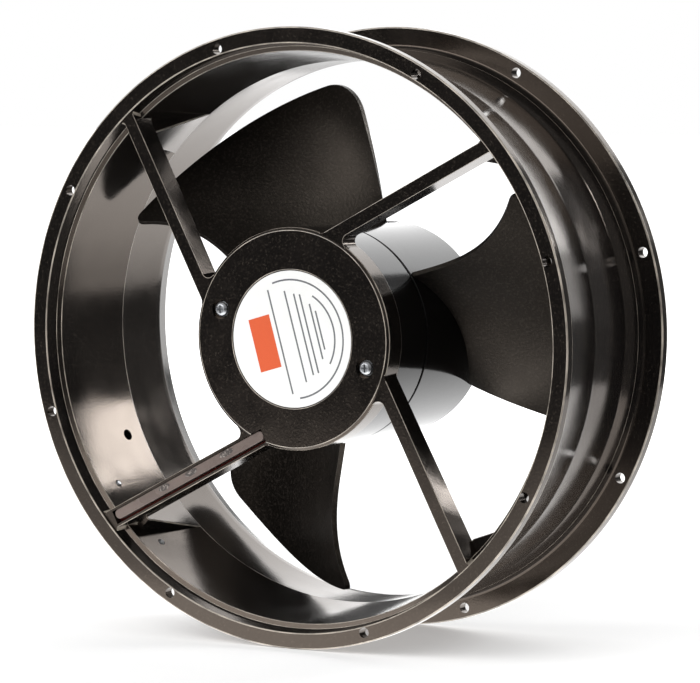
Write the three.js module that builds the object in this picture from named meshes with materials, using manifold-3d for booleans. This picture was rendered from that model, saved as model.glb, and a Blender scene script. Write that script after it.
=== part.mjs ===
// Axial fan: a round die cast venturi frame, an external rotor motor on four struts and three swept blades.
// Millimetres, +Z up. The fan's axis is Y, the inlet with the struts faces -Y, the origin is the centre.
import * as THREE from 'three';
import { mergeVertices } from 'three/addons/utils/BufferGeometryUtils.js';
import Module from 'manifold-3d';

const wasm = await Module();
wasm.setup();

// Whole fan
const FAN_DIAMETER = 254;
const FAN_DEPTH = 89;
const FRONT_Y = -FAN_DEPTH / 2;
const REAR_Y = FAN_DEPTH / 2;

// Fits and modelling
const SEAT_GAP = 0.2;
const RUNNING_GAP = 1.8;
const CUT_OVERRUN = 2;
const MERGE_DISTANCE = 1e-4;
const FRAME_SIDES = 64;
const MOTOR_SIDES = 40;
const CORE_SIDES = 32;
const SMALL_SIDES = 16;
const HOLE_SIDES = 10;
const LEAD_SIDES = 8;
const LEAD_STEPS = 27;

// Venturi frame: flanges, inlet cone, throat and flared outlet
const FLANGE_THICKNESS = 4.7;
const FLANGE_WIDTH = 6.7;
const LIP_RAKE = 1.1;
const LIP_DEPTH = 6;
const INLET_STEP_WIDTH = 1;
const INLET_STEP_DEPTH = 0.9;
const INLET_TAPER = 8.6;
const THROAT_START_DEPTH = 41.5;
const OUTLET_LENGTH = 20.5;
const OUTLET_BEND_LENGTH = 3.5;
const OUTLET_BEND_RISE = 0.8;
const OUTLET_FLARE = 8.7;
const OUTLET_STEP_RISE = 7.9;
const OUTLET_STEP_HEIGHT = 3.3;
const FRAME_WALL = 2.2;
const FLANGE_FILLET = 1.2;
const BOLT_INSET = 4.25;
const BOLT_HOLE_RADIUS = 2.2;
const BOLT_COUNT = 8;
const BOLT_START_DEGREES = 16.45;

// Struts: straight bars beside the axis, a quarter turn apart; the wide one carries the leads
const STRUT_COUNT = 4;
const STRUT_START_DEGREES = 27.57;
const STRUT_INSET = 16.4;
const STRUT_SETBACK = 1.5;
const STRUT_FRONT_WIDTH = 5.4;
const STRUT_REAR_WIDTH = 6.2;
const STRUT_HUB_DEPTH = 9.2;
const STRUT_RIM_DEPTH = 11.2;
const STRUT_EDGE = 1;
const STRUT_FILLET = 3;
const STRUT_RIM_FILLET = 1;
const FILLET_STEPS = 2;
const LEAD_STRUT_INDEX = 2;
const LEAD_STRUT_EXTRA_WIDTH = 2.6;
const CHANNEL_WIDTH = 5.8;
const CHANNEL_DEPTH = 6.6;
const CHANNEL_HUB_REACH = 4.5;
const CHANNEL_END_WALL = 1.1;
const TUNNEL_HEIGHT = 3.2;

// Gusset pads at the strut roots
const GUSSET_FRONT_DEPTH = 9.8;
const GUSSET_SIDE_MARGIN = 0.6;
const GUSSET_REAR_WIDTH = 31;

// Hub plate that carries the motor
const HUB_RADIUS = 45.6;
const HUB_SETBACK = 1;
const HUB_PLATE_THICKNESS = 4;
const HUB_WALL = 3;
const HUB_HEIGHT = 10.7;
const HUB_EDGE_WIDTH = 1.7;
const HUB_EDGE_HEIGHT = 1;
const HUB_BORE_RADIUS = 8;
const LABEL_INSET = 17.6;
const LABEL_THICKNESS = 0.3;
const LABEL_RECESS_DEPTH = 0.6;
const LABEL_MARGIN = 0.4;

// Motor screws
const MOTOR_SCREW_INSET = 9.6;
const MOTOR_SCREW_DEGREES = [162, -17];
const MOTOR_SCREW_RADIUS = 1.75;
const MOTOR_SCREW_LENGTH = 6;
const MOTOR_SCREW_HEAD_RADIUS = 3;
const MOTOR_SCREW_HEAD_HEIGHT = 1.9;
const COUNTERBORE_RADIUS = 4.05;
const COUNTERBORE_DEPTH = 2.4;
const LOCK_WASHER_RADIUS = 3.2;
const LOCK_WASHER_THICKNESS = 0.5;
const LOCK_WASHER_SPLIT = 0.6;

// Motor base and bearing tube
const MOTOR_STEP = 0.3;
const BASE_DISC_THICKNESS = 4;
const BASE_WALL = 2.5;
const SPIGOT_WALL = 2.8;
const BASE_REAR_DEPTH = 32.5;
const BASE_BOSS_WALL = 2.8;
const BASE_BOSS_HEIGHT = 8.3;
const BASE_LIP_THICKNESS = 1;
const BASE_LIP_WIDTH = 1.5;
const TUBE_RADIUS = 13.5;
const TUBE_SHOULDER_RADIUS = 9.5;
const TUBE_REAR_MARGIN = 1;

// Bearings, shaft and small parts on it
const BEARING_RADIUS = 11;
const BEARING_WIDTH = 7;
const FRONT_BEARING_INSET = 1.2;
const BEARING_INNER_RACE_RADIUS = 6;
const BEARING_OUTER_RACE_RADIUS = 9;
const BEARING_GROOVE_DEPTH = 0.55;
const BEARING_GROOVE_WIDTH = 3.2;
const BALL_RADIUS = 1.75;
const BALL_COUNT = 7;
const CAGE_WIDTH = 1.2;
const CAGE_THICKNESS = 0.8;
const SHAFT_RADIUS = 4;
const SHAFT_CHAMFER = 0.4;
const SHAFT_FRONT_MARGIN = 1.8;
const CLIP_THICKNESS = 0.8;
const CLIP_RADIUS = 6.5;
const CLIP_GROOVE_DEPTH = 0.6;
const CLIP_OPENING_DEGREES = 80;
const SHIM_THICKNESS = 0.5;
const SHIM_RADIUS = 6;
const SPRING_THICKNESS = 0.4;
const SPRING_WAVE_HEIGHT = 0.5;
const SPRING_WAVES = 3;

// Stator
const AIR_GAP = 0.6;
const STATOR_FRONT_SPACE = 4.2;
const STATOR_REAR_SPACE = 15;
const TOOTH_COUNT = 8;
const TOOTH_WIDTH = 9;
const TOOTH_ROOT_SHARE = 0.534;
const SHOE_THICKNESS = 3.5;
const SHOE_TIP_THICKNESS = 2;
const SHOE_SPAN_DEGREES = 38;
const INSULATOR_THICKNESS = 1.2;
const INSULATOR_MARGIN = 0.3;
const COIL_THICKNESS = 3;
const COIL_ROOT_GAP = 1.5;
const COIL_CORNER_RADIUS = 3;
const PROTECTOR_LENGTH = 11;
const PROTECTOR_WIDTH = 4;
const PROTECTOR_HEIGHT = 3.6;
const PROTECTOR_DEGREES = 292.5;

// Rotor
const ROTOR_STEP = 0.3;
const ROTOR_REAR_MARGIN = 3;
const ROTOR_WALL = 2.2;
const ROTOR_END_THICKNESS = 2.5;
const ROTOR_CORNER_RADIUS = 3;
const ROTOR_BOSS_RADIUS = 9;
const ROTOR_BOSS_HEIGHT = 11.8;
const ROTOR_CORE_THICKNESS = 7;
const ROTOR_CORE_OVERHANG = 2;
const CAGE_RING_WIDTH = 4.5;
const CAGE_RING_HEIGHT = 2;

// Blades, from the hub to the tip at four stations evenly spaced along the reach
// Places along the axis are shares of the rotor's length, counted from its front
const BLADE_COUNT = 3;
const TIP_CLEARANCE = 3.4;
const BLADE_THICKNESS = 2.2;
const BLADE_OUTLET_EDGE_DEGREES = [91.3, 94.1, 96.5, 98.5];
const BLADE_INLET_EDGE_DEGREES = [154.9, 149.6, 150.4, 155.9];
const BLADE_OUTLET_EDGE_SHARES = [0.888, 0.868, 0.855, 0.847];
const BLADE_INLET_EDGE_SHARES = [0.031, 0.06, 0.021, -0.081];
const BLADE_CAMBER_SHARES = [0.089, 0.159, 0.226, 0.296];
const BLADE_SKEW_SHARES = [0.062, 0.0135, -0.035, -0.083];
const BLADE_OUTLET_CORNER_RADIUS = 14;
const BLADE_INLET_CORNER_RADIUS = 5;
const BLADE_ROWS = 10;
const BLADE_COLUMNS = 14;

// Terminal block on a flat seat outside the barrel, at the root of the wide strut
const SEAT_INSET = 6;
const SEAT_WIDTH = 44;
const SEAT_LENGTH = 25;
const BLOCK_WIDTH = 24;
const BLOCK_LENGTH = 22;
const BLOCK_HEIGHT = 5.2;
const BLOCK_FRONT_MARGIN = 0.4;
const BLOCK_CHAMFER = 1.5;
const EAR_SPAN = 41;
const EAR_LENGTH = 9;
const EAR_THICKNESS = 2.5;
const POCKET_WIDTH = 16;
const POCKET_HEIGHT = 3.6;
const POCKET_LENGTH = 7.5;
const TAB_SPACING = 10;
const TAB_WIDTH = 4.8;
const TAB_THICKNESS = 0.8;
const TAB_REACH = 8;
const TAB_TIP_CHAMFER = 1.2;
const TAB_HOLE_RADIUS = 0.8;
const BLOCK_SCREW_SPACING = 32;
const BLOCK_SCREW_DEPTH = 17.5;
const BLOCK_SCREW_RADIUS = 1.4;
const BLOCK_SCREW_HEAD_RADIUS = 2.5;
const BLOCK_SCREW_HEAD_HEIGHT = 1.7;
const BLOCK_SCREW_REACH = 10.2;

// Leads, and the filler strip that covers them in the channel
const LEAD_RADIUS = 0.85;
const LEAD_SPACING = 2.2;
const LEAD_FLOOR_CLEARANCE = 0.3;
const LEAD_BEND = 3.3;
const LEAD_RISE = 5;
const STRIP_SINK = 0.4;
const STRIP_END_RADIUS = 2;
const STRIP_END_MARGIN = 0.5;

// Earth screw hole in the inlet cone
const EARTH_HOLE_DEGREES = -155.3;
const EARTH_HOLE_DEPTH = 33;
const EARTH_HOLE_RADIUS = 2.4;
const EARTH_HOLE_SIDES = 6;

// Places that follow from the sizes above
const FAN_RADIUS = FAN_DIAMETER / 2;
const RIM_RADIUS = FAN_RADIUS / Math.cos(Math.PI / FRAME_SIDES);
const LIP_MOUTH_RADIUS = FAN_RADIUS - FLANGE_WIDTH;
const LIP_END_RADIUS = LIP_MOUTH_RADIUS - LIP_RAKE;
const INLET_RADIUS = LIP_END_RADIUS - INLET_STEP_WIDTH;
const THROAT_RADIUS = INLET_RADIUS - INLET_TAPER;
const OUTLET_RADIUS = THROAT_RADIUS + OUTLET_FLARE;
const OUTLET_STEP_RADIUS = THROAT_RADIUS + OUTLET_STEP_RISE;
const BOLT_CIRCLE_RADIUS = FAN_RADIUS - BOLT_INSET;
const THROAT_START_Y = FRONT_Y + THROAT_START_DEPTH;
const THROAT_END_Y = REAR_Y - OUTLET_LENGTH;
const LIP_END_Y = FRONT_Y + LIP_DEPTH;
const INLET_START_Y = LIP_END_Y + INLET_STEP_DEPTH;
const STRUT_OFFSET = HUB_RADIUS - STRUT_INSET;
const STRUT_FRONT_Y = FRONT_Y + STRUT_SETBACK;
const CHANNEL_FLOOR_Y = STRUT_FRONT_Y + CHANNEL_DEPTH;
const LEAD_Y = CHANNEL_FLOOR_Y - LEAD_FLOOR_CLEARANCE - LEAD_RADIUS;
const LABEL_RADIUS = HUB_RADIUS - LABEL_INSET;
const MOTOR_SCREW_CIRCLE_RADIUS = HUB_RADIUS - MOTOR_SCREW_INSET;
const MOTOR_RADIUS = HUB_RADIUS - MOTOR_STEP;
const ROTOR_RADIUS = MOTOR_RADIUS - ROTOR_STEP;
const HUB_FRONT_Y = FRONT_Y + HUB_SETBACK;
const HUB_INNER_Y = HUB_FRONT_Y + HUB_PLATE_THICKNESS;
const HUB_REAR_Y = HUB_FRONT_Y + HUB_HEIGHT;
const LABEL_FLOOR_Y = HUB_FRONT_Y + LABEL_RECESS_DEPTH;
const COUNTERBORE_Y = HUB_FRONT_Y + COUNTERBORE_DEPTH;
const BASE_FRONT_Y = HUB_INNER_Y + SEAT_GAP;
const BASE_INNER_Y = BASE_FRONT_Y + BASE_DISC_THICKNESS;
const BASE_SHOULDER_Y = HUB_REAR_Y + SEAT_GAP;
const BASE_REAR_Y = FRONT_Y + BASE_REAR_DEPTH;
const SPIGOT_RADIUS = HUB_RADIUS - HUB_WALL - SEAT_GAP;
const BASE_BORE_RADIUS = TUBE_RADIUS + SEAT_GAP;
const BASE_BOSS_RADIUS = BASE_BORE_RADIUS + BASE_BOSS_WALL;
const TUBE_FRONT_Y = BASE_FRONT_Y + BASE_LIP_THICKNESS + SEAT_GAP;
const FRONT_BEARING_Y = TUBE_FRONT_Y + FRONT_BEARING_INSET + BEARING_WIDTH / 2;
const ROTOR_FRONT_Y = BASE_REAR_Y + RUNNING_GAP;
const ROTOR_REAR_Y = REAR_Y - ROTOR_REAR_MARGIN;
const ROTOR_LENGTH = ROTOR_REAR_Y - ROTOR_FRONT_Y;
const ROTOR_END_INNER_Y = ROTOR_REAR_Y - ROTOR_END_THICKNESS;
const ROTOR_BOSS_Y = ROTOR_END_INNER_Y - ROTOR_BOSS_HEIGHT;
const REAR_BEARING_Y = ROTOR_BOSS_Y - SEAT_GAP - BEARING_WIDTH / 2;
const TUBE_REAR_Y = REAR_BEARING_Y + BEARING_WIDTH / 2 + TUBE_REAR_MARGIN;
const BEARING_SEAT_RADIUS = BEARING_RADIUS + SEAT_GAP;
const BALL_CIRCLE_RADIUS = (BEARING_INNER_RACE_RADIUS + BEARING_OUTER_RACE_RADIUS) / 2;
const ROTOR_CORE_RADIUS = ROTOR_RADIUS - ROTOR_WALL - SEAT_GAP;
const STATOR_RADIUS = ROTOR_CORE_RADIUS - ROTOR_CORE_THICKNESS - AIR_GAP;
const STATOR_FRONT_Y = ROTOR_FRONT_Y + STATOR_FRONT_SPACE;
const STATOR_REAR_Y = ROTOR_END_INNER_Y - STATOR_REAR_SPACE;
const TOOTH_ROOT_RADIUS = TOOTH_ROOT_SHARE * STATOR_RADIUS;
const COIL_INNER_RADIUS = TOOTH_ROOT_RADIUS + COIL_ROOT_GAP;
const BLADE_TIP_RADIUS = THROAT_RADIUS - TIP_CLEARANCE;
const SEAT_FLAT_RADIUS = FAN_RADIUS - SEAT_INSET;
const LEAD_STRUT_DEGREES = STRUT_START_DEGREES + 90 * LEAD_STRUT_INDEX;
const HUB_FLAT_RADIUS = HUB_RADIUS * Math.cos(Math.PI / MOTOR_SIDES);
const ROOT_RADIUS = (INLET_RADIUS + THROAT_RADIUS) / 2;
const ROOT_LEAN_DEGREES = degrees(Math.asin(STRUT_OFFSET / ROOT_RADIUS));
const SEAT_DEGREES = LEAD_STRUT_DEGREES + ROOT_LEAN_DEGREES;
const HUB_CROSSING = Math.sqrt(HUB_RADIUS ** 2 - STRUT_OFFSET ** 2);
const RIM_CROSSING = Math.sqrt(INLET_RADIUS ** 2 - STRUT_OFFSET ** 2);
const CHANNEL_START = HUB_CROSSING - CHANNEL_HUB_REACH;
const CHANNEL_END = RIM_CROSSING - CHANNEL_END_WALL;
const BLOCK_FRONT_Y = FRONT_Y + FLANGE_THICKNESS + BLOCK_FRONT_MARGIN;
const BLOCK_REAR_Y = BLOCK_FRONT_Y + BLOCK_LENGTH;
const BLOCK_FOOT_RADIUS = SEAT_FLAT_RADIUS + SEAT_GAP;
const POCKET_REAR_Y = BLOCK_FRONT_Y + POCKET_LENGTH;
const TAB_RADIUS = BLOCK_FOOT_RADIUS + BLOCK_HEIGHT / 2;
const BLOCK_SCREW_Y = FRONT_Y + BLOCK_SCREW_DEPTH;

function degrees(radians) {
  return (radians * 180) / Math.PI;
}

function radians(angle) {
  return (angle * Math.PI) / 180;
}

// A closed copy of a geometry with shared corners, no faces without area, and its faces pointing out
function closedMesh(source) {
  const bare = source.clone();
  bare.deleteAttribute('normal');
  bare.deleteAttribute('uv');
  const mesh = mergeVertices(bare, MERGE_DISTANCE);
  const position = mesh.attributes.position;
  const corner = (index) => new THREE.Vector3().fromBufferAttribute(position, index);
  const faces = [];
  let volume = 0;
  for (let i = 0; i < mesh.index.count; i += 3) {
    const [a, b, c] = [i, i + 1, i + 2].map((k) => mesh.index.getX(k));
    if (a === b || b === c || c === a) continue;
    faces.push([a, b, c]);
    volume += corner(a).dot(corner(b).cross(corner(c)));
  }
  const outward = volume < 0 ? faces.map(([a, b, c]) => [a, c, b]) : faces;
  mesh.setIndex(outward.flat());
  return mesh;
}

function toSolid(geometry) {
  const mesh = closedMesh(geometry);
  const vertProperties = Float32Array.from(mesh.attributes.position.array);
  const triVerts = Uint32Array.from(mesh.index.array);
  return new wasm.Manifold(new wasm.Mesh({ numProp: 3, vertProperties, triVerts }));
}

function toGeometry(solid) {
  const mesh = solid.getMesh();
  const geometry = new THREE.BufferGeometry();
  geometry.setAttribute('position', new THREE.BufferAttribute(mesh.vertProperties, 3));
  geometry.setIndex(new THREE.BufferAttribute(mesh.triVerts, 1));
  geometry.computeVertexNormals();
  return geometry;
}

function joined(first, ...others) {
  return others.reduce((sum, other) => sum.add(other), first);
}

function cut(body, ...tools) {
  return tools.reduce((left, tool) => left.subtract(tool), body);
}

// Revolves an outline of [radius, y] points about the fan's axis; an outline off the axis closes on itself
function revolved(outline, sides = MOTOR_SIDES) {
  const points = outline.map(([radius, y]) => new THREE.Vector2(radius, y));
  if (outline[0][0] > 0) points.push(points[0].clone());
  return toSolid(new THREE.LatheGeometry(points, sides, Math.PI / sides));
}

function ring(innerRadius, outerRadius, startY, endY, sides = MOTOR_SIDES) {
  const outline = [[innerRadius, startY], [outerRadius, startY], [outerRadius, endY], [innerRadius, endY]];
  return revolved(outline, sides);
}

function disc(radius, startY, endY, sides = MOTOR_SIDES) {
  return revolved([[0, startY], [radius, startY], [radius, endY], [0, endY]], sides);
}

// Extrudes a flat outline along one axis of the part, from one place to another
function extruded(outline, start, end, basis) {
  const shape = new THREE.Shape(outline.map(([across, up]) => new THREE.Vector2(across, up)));
  const geometry = new THREE.ExtrudeGeometry(shape, { depth: end - start, bevelEnabled: false });
  geometry.translate(0, 0, start);
  geometry.applyMatrix4(basis);
  return toSolid(geometry);
}

const X_AXIS = new THREE.Vector3(1, 0, 0);
const Y_AXIS = new THREE.Vector3(0, 1, 0);
const Z_AXIS = new THREE.Vector3(0, 0, 1);

// Outline in [z, y], extruded along X
function extrudedAlongX(outline, startX, endX) {
  return extruded(outline, startX, endX, new THREE.Matrix4().makeBasis(Z_AXIS, Y_AXIS, X_AXIS));
}

// Outline in [x, z], extruded along Y
function extrudedAlongY(outline, startY, endY) {
  return extruded(outline, startY, endY, new THREE.Matrix4().makeBasis(X_AXIS, Z_AXIS, Y_AXIS));
}

function rectangle(left, right, bottom, top) {
  return [[left, bottom], [right, bottom], [right, top], [left, top]];
}

function roundedRectangle(halfWidth, halfHeight, radius, centreY, steps) {
  const corners = [[1, 1, 0], [-1, 1, 90], [-1, -1, 180], [1, -1, 270]];
  return corners.flatMap(([sideX, sideY, start]) => Array.from({ length: steps + 1 }, (unused, i) => {
    const angle = radians(start + (90 * i) / steps);
    const x = sideX * (halfWidth - radius) + radius * Math.cos(angle);
    return [x, centreY + sideY * (halfHeight - radius) + radius * Math.sin(angle)];
  }));
}

function box(startX, endX, startY, endY, startZ, endZ) {
  return extrudedAlongX(rectangle(startZ, endZ, startY, endY), startX, endX);
}

// Turns a solid about the fan's axis: its +X side then faces the angle, as seen from the front
function turned(solid, angle) {
  return solid.rotate([0, -angle, 0]);
}

// A point given as radial, axial and tangential distances in the frame at an angle
function pointAt(angle, radial, y, tangential) {
  const point = new THREE.Vector3(radial, y, tangential);
  return point.applyAxisAngle(Y_AXIS, -radians(angle));
}

// Triangles that fill a ring of points as seen along the fan's axis, wound like the ring
function capFaces(ring) {
  const contour = ring.map((point) => new THREE.Vector2(point.x, point.z));
  const wound = Math.sign(THREE.ShapeUtils.area(contour));
  return THREE.ShapeUtils.triangulateShape(contour, []).map(([a, b, c]) => {
    const turn = Math.sign(THREE.ShapeUtils.area([contour[a], contour[b], contour[c]]));
    return turn === wound ? [a, b, c] : [a, c, b];
  });
}

// Joins rings of equally many points, one behind the other along the axis, into a closed body
function lofted(rings) {
  const count = rings[0].length;
  const faces = [];
  for (let row = 0; row + 1 < rings.length; row += 1) {
    for (let i = 0; i < count; i += 1) {
      const a = row * count + i;
      const b = row * count + ((i + 1) % count);
      faces.push(a, b, b + count, a, b + count, a + count);
    }
  }
  const last = (rings.length - 1) * count;
  capFaces(rings[0]).forEach(([a, b, c]) => faces.push(a, c, b));
  capFaces(rings[rings.length - 1]).forEach(([a, b, c]) => faces.push(last + a, last + b, last + c));
  const geometry = new THREE.BufferGeometry().setFromPoints(rings.flat());
  geometry.setIndex(faces);
  return toSolid(geometry);
}

// Closes the space between two equal grids of points, the faces of a curved sheet
function sheetSolid(front, back) {
  const rows = front.length;
  const columns = front[0].length;
  const points = [...front.flat(), ...back.flat()];
  const offset = rows * columns;
  const index = (row, column) => row * columns + column;
  const faces = [];
  for (let row = 0; row + 1 < rows; row += 1) {
    for (let column = 0; column + 1 < columns; column += 1) {
      const [a, b] = [index(row, column), index(row, column + 1)];
      const [c, d] = [index(row + 1, column + 1), index(row + 1, column)];
      faces.push(a, b, c, a, c, d);
      faces.push(a + offset, c + offset, b + offset, a + offset, d + offset, c + offset);
    }
  }
  const rim = [];
  for (let column = 0; column + 1 < columns; column += 1) rim.push(index(0, column));
  for (let row = 0; row + 1 < rows; row += 1) rim.push(index(row, columns - 1));
  for (let column = columns - 1; column > 0; column -= 1) rim.push(index(rows - 1, column));
  for (let row = rows - 1; row > 0; row -= 1) rim.push(index(row, 0));
  rim.forEach((a, i) => {
    const b = rim[(i + 1) % rim.length];
    faces.push(a, a + offset, b + offset, a, b + offset, b);
  });
  const geometry = new THREE.BufferGeometry().setFromPoints(points);
  geometry.setIndex(faces);
  return toSolid(geometry);
}

// Distance that a fillet stands out from a side, at a distance along it from the corner
function filletRise(radius, distance) {
  const left = Math.max(0, radius - distance);
  return radius - Math.sqrt(radius * radius - left * left);
}

// Frame casting

function frameBarrel() {
  const inletOuterY = FRONT_Y + FLANGE_THICKNESS + FLANGE_FILLET;
  const coneShare = (THROAT_START_Y - inletOuterY) / (THROAT_START_Y - INLET_START_Y);
  const inletOuterRadius = THROAT_RADIUS + FRAME_WALL + (INLET_RADIUS - THROAT_RADIUS) * coneShare;
  const outline = [
    [LIP_MOUTH_RADIUS, FRONT_Y],
    [LIP_END_RADIUS, LIP_END_Y],
    [INLET_RADIUS, INLET_START_Y],
    [THROAT_RADIUS, THROAT_START_Y],
    [THROAT_RADIUS, THROAT_END_Y],
    [THROAT_RADIUS + OUTLET_BEND_RISE, THROAT_END_Y + OUTLET_BEND_LENGTH],
    [OUTLET_RADIUS, REAR_Y],
    [RIM_RADIUS, REAR_Y],
    [RIM_RADIUS, REAR_Y - FLANGE_THICKNESS],
    [OUTLET_STEP_RADIUS + FLANGE_FILLET, REAR_Y - FLANGE_THICKNESS],
    [OUTLET_STEP_RADIUS, REAR_Y - FLANGE_THICKNESS - OUTLET_STEP_HEIGHT],
    [THROAT_RADIUS + FRAME_WALL, THROAT_END_Y],
    [THROAT_RADIUS + FRAME_WALL, THROAT_START_Y],
    [inletOuterRadius, inletOuterY],
    [inletOuterRadius + FLANGE_FILLET, FRONT_Y + FLANGE_THICKNESS],
    [RIM_RADIUS, FRONT_Y + FLANGE_THICKNESS],
    [RIM_RADIUS, FRONT_Y],
  ];
  return revolved(outline, FRAME_SIDES);
}

// The space inside the middle of the inlet wall, in which struts and gussets end
function inletSpace() {
  const sink = FRAME_WALL / 2;
  const outline = [
    [0, FRONT_Y],
    [LIP_MOUTH_RADIUS + sink, FRONT_Y],
    [LIP_END_RADIUS + sink, LIP_END_Y],
    [INLET_RADIUS + sink, INLET_START_Y],
    [THROAT_RADIUS + sink, THROAT_START_Y],
    [0, THROAT_START_Y],
  ];
  return revolved(outline, FRAME_SIDES);
}

function strutExtraWidth(index) {
  return index === LEAD_STRUT_INDEX ? LEAD_STRUT_EXTRA_WIDTH : 0;
}

function arc(centre, radius, startAngle, endAngle) {
  return Array.from({ length: FILLET_STEPS + 1 }, (unused, i) => {
    const angle = THREE.MathUtils.lerp(startAngle, endAngle, i / FILLET_STEPS);
    return [centre[0] + radius * Math.cos(angle), centre[1] + radius * Math.sin(angle)];
  });
}

// One side of a strut in plan, as [along, across]: it runs out into the hub and the wall in fillets
function strutSide(side, half, edge, rimRadius) {
  const fillet = STRUT_FILLET + edge;
  const rimFillet = STRUT_RIM_FILLET + edge;
  const across = STRUT_OFFSET + side * (half + fillet);
  const rimAcross = STRUT_OFFSET + side * (half + rimFillet);
  const hubCentre = [Math.sqrt((HUB_FLAT_RADIUS + fillet) ** 2 - across ** 2), across];
  const rimCentre = [Math.sqrt((rimRadius - rimFillet) ** 2 - rimAcross ** 2), rimAcross];
  const outward = Math.atan2(rimCentre[1], rimCentre[0]);
  const inward = Math.atan2(hubCentre[1], hubCentre[0]) - side * Math.PI;
  const toLine = (-side * Math.PI) / 2;
  const hubArc = arc(hubCentre, fillet, inward, toLine);
  const rimArc = arc(rimCentre, rimFillet, toLine, outward);
  const inHub = hubArc[0].map((value) => value * (1 - HUB_WALL / 2 / HUB_RADIUS));
  const inWall = rimArc[FILLET_STEPS].map((value) => value * (1 + STRUT_FILLET / rimRadius));
  return [inHub, ...hubArc, ...rimArc, inWall];
}

// Closed plan outline of a strut at one depth, set at that depth; the depth may change along the strut
function strutRing(half, edge, rimRadius, depthAt) {
  const [innerSide, outerSide] = [-1, 1].map((side) => strutSide(side, half, edge, rimRadius));
  const plan = [...innerSide, ...outerSide.reverse()];
  return plan.map(([along, across]) => new THREE.Vector3(along, FRONT_Y + depthAt(along), across));
}

function strut(index) {
  const frontHalf = (STRUT_FRONT_WIDTH + strutExtraWidth(index)) / 2;
  const rearHalf = (STRUT_REAR_WIDTH + strutExtraWidth(index)) / 2;
  const slope = (STRUT_RIM_DEPTH - STRUT_HUB_DEPTH) / (RIM_CROSSING - HUB_CROSSING);
  const rearDepth = (along) => STRUT_SETBACK + STRUT_HUB_DEPTH + slope * (along - HUB_CROSSING);
  const rings = [
    strutRing(frontHalf - STRUT_EDGE, STRUT_EDGE, LIP_MOUTH_RADIUS, () => STRUT_SETBACK),
    strutRing(frontHalf, 0, LIP_END_RADIUS, () => STRUT_SETBACK + STRUT_EDGE),
    strutRing(rearHalf, 0, INLET_RADIUS, rearDepth),
  ];
  return turned(lofted(rings), STRUT_START_DEGREES + 90 * index);
}

// Pad with the throat's radius that carries a strut root, widening back to the throat
function gusset(index) {
  const frontY = FRONT_Y + GUSSET_FRONT_DEPTH;
  const frontHalf = (STRUT_REAR_WIDTH + strutExtraWidth(index)) / 2 + GUSSET_SIDE_MARGIN;
  const rearHalf = GUSSET_REAR_WIDTH / 2;
  const outline = [
    [-frontHalf, frontY],
    [frontHalf, frontY],
    [rearHalf, THROAT_START_Y],
    [-rearHalf, THROAT_START_Y],
  ];
  const wedge = extrudedAlongX(outline, THROAT_RADIUS / 2, FAN_DIAMETER / 2);
  return turned(wedge, STRUT_START_DEGREES + 90 * index + ROOT_LEAN_DEGREES);
}

function hubPlate() {
  const outline = [
    [HUB_BORE_RADIUS, LABEL_FLOOR_Y],
    [LABEL_RADIUS + LABEL_MARGIN, LABEL_FLOOR_Y],
    [LABEL_RADIUS + LABEL_MARGIN, HUB_FRONT_Y],
    [HUB_RADIUS - HUB_EDGE_WIDTH, HUB_FRONT_Y],
    [HUB_RADIUS, HUB_FRONT_Y + HUB_EDGE_HEIGHT],
    [HUB_RADIUS, HUB_REAR_Y],
    [HUB_RADIUS - HUB_WALL, HUB_REAR_Y],
    [HUB_RADIUS - HUB_WALL, HUB_INNER_Y],
    [HUB_BORE_RADIUS, HUB_INNER_Y],
  ];
  return revolved(outline, MOTOR_SIDES);
}

// Through holes of both flanges, kept apart so that the barrel between them stays whole
function boltHoles() {
  const hole = disc(BOLT_HOLE_RADIUS, -CUT_OVERRUN, FLANGE_THICKNESS + CUT_OVERRUN, HOLE_SIDES);
  const holes = [];
  for (let i = 0; i < BOLT_COUNT; i += 1) {
    const angle = BOLT_START_DEGREES + (360 * i) / BOLT_COUNT;
    for (const startY of [FRONT_Y, REAR_Y - FLANGE_THICKNESS]) {
      holes.push(turned(hole.translate([BOLT_CIRCLE_RADIUS, startY, 0]), angle));
    }
  }
  return holes;
}

function motorScrewHoles() {
  return MOTOR_SCREW_DEGREES.flatMap((angle) => {
    const shankHole = disc(MOTOR_SCREW_RADIUS + SEAT_GAP, HUB_FRONT_Y, HUB_INNER_Y + CUT_OVERRUN, HOLE_SIDES);
    const counterbore = disc(COUNTERBORE_RADIUS, HUB_FRONT_Y - CUT_OVERRUN, COUNTERBORE_Y, SMALL_SIDES);
    const place = [MOTOR_SCREW_CIRCLE_RADIUS, 0, 0];
    return [turned(shankHole.translate(place), angle), turned(counterbore.translate(place), angle)];
  });
}

// Channel of the wide strut, open to the front, and the tunnels at its two ends
function leadPassages() {
  const half = CHANNEL_WIDTH / 2;
  const sides = [STRUT_OFFSET - half, STRUT_OFFSET + half];
  const tunnelY = CHANNEL_FLOOR_Y - TUNNEL_HEIGHT;
  const channel = box(CHANNEL_START, CHANNEL_END, HUB_FRONT_Y - CUT_OVERRUN, CHANNEL_FLOOR_Y, ...sides);
  const hubTunnel = box(STRUT_OFFSET - half, CHANNEL_START + half, HUB_INNER_Y, CHANNEL_FLOOR_Y, ...sides);
  const rimTunnel = box(CHANNEL_END - half, FAN_DIAMETER / 2, tunnelY, CHANNEL_FLOOR_Y, ...sides);
  return [channel, hubTunnel, rimTunnel].map((tool) => turned(tool, LEAD_STRUT_DEGREES));
}

// Flat seat for the terminal block, milled flush with the flange's rear face
function terminalSeat() {
  const startY = FRONT_Y + FLANGE_THICKNESS - SEAT_GAP;
  const endY = FRONT_Y + FLANGE_THICKNESS + SEAT_LENGTH;
  const half = SEAT_WIDTH / 2;
  const footRadius = Math.sqrt((THROAT_RADIUS + FRAME_WALL) ** 2 - half ** 2);
  return turned(box(footRadius, SEAT_FLAT_RADIUS, startY, endY, -half, half), SEAT_DEGREES);
}

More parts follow.
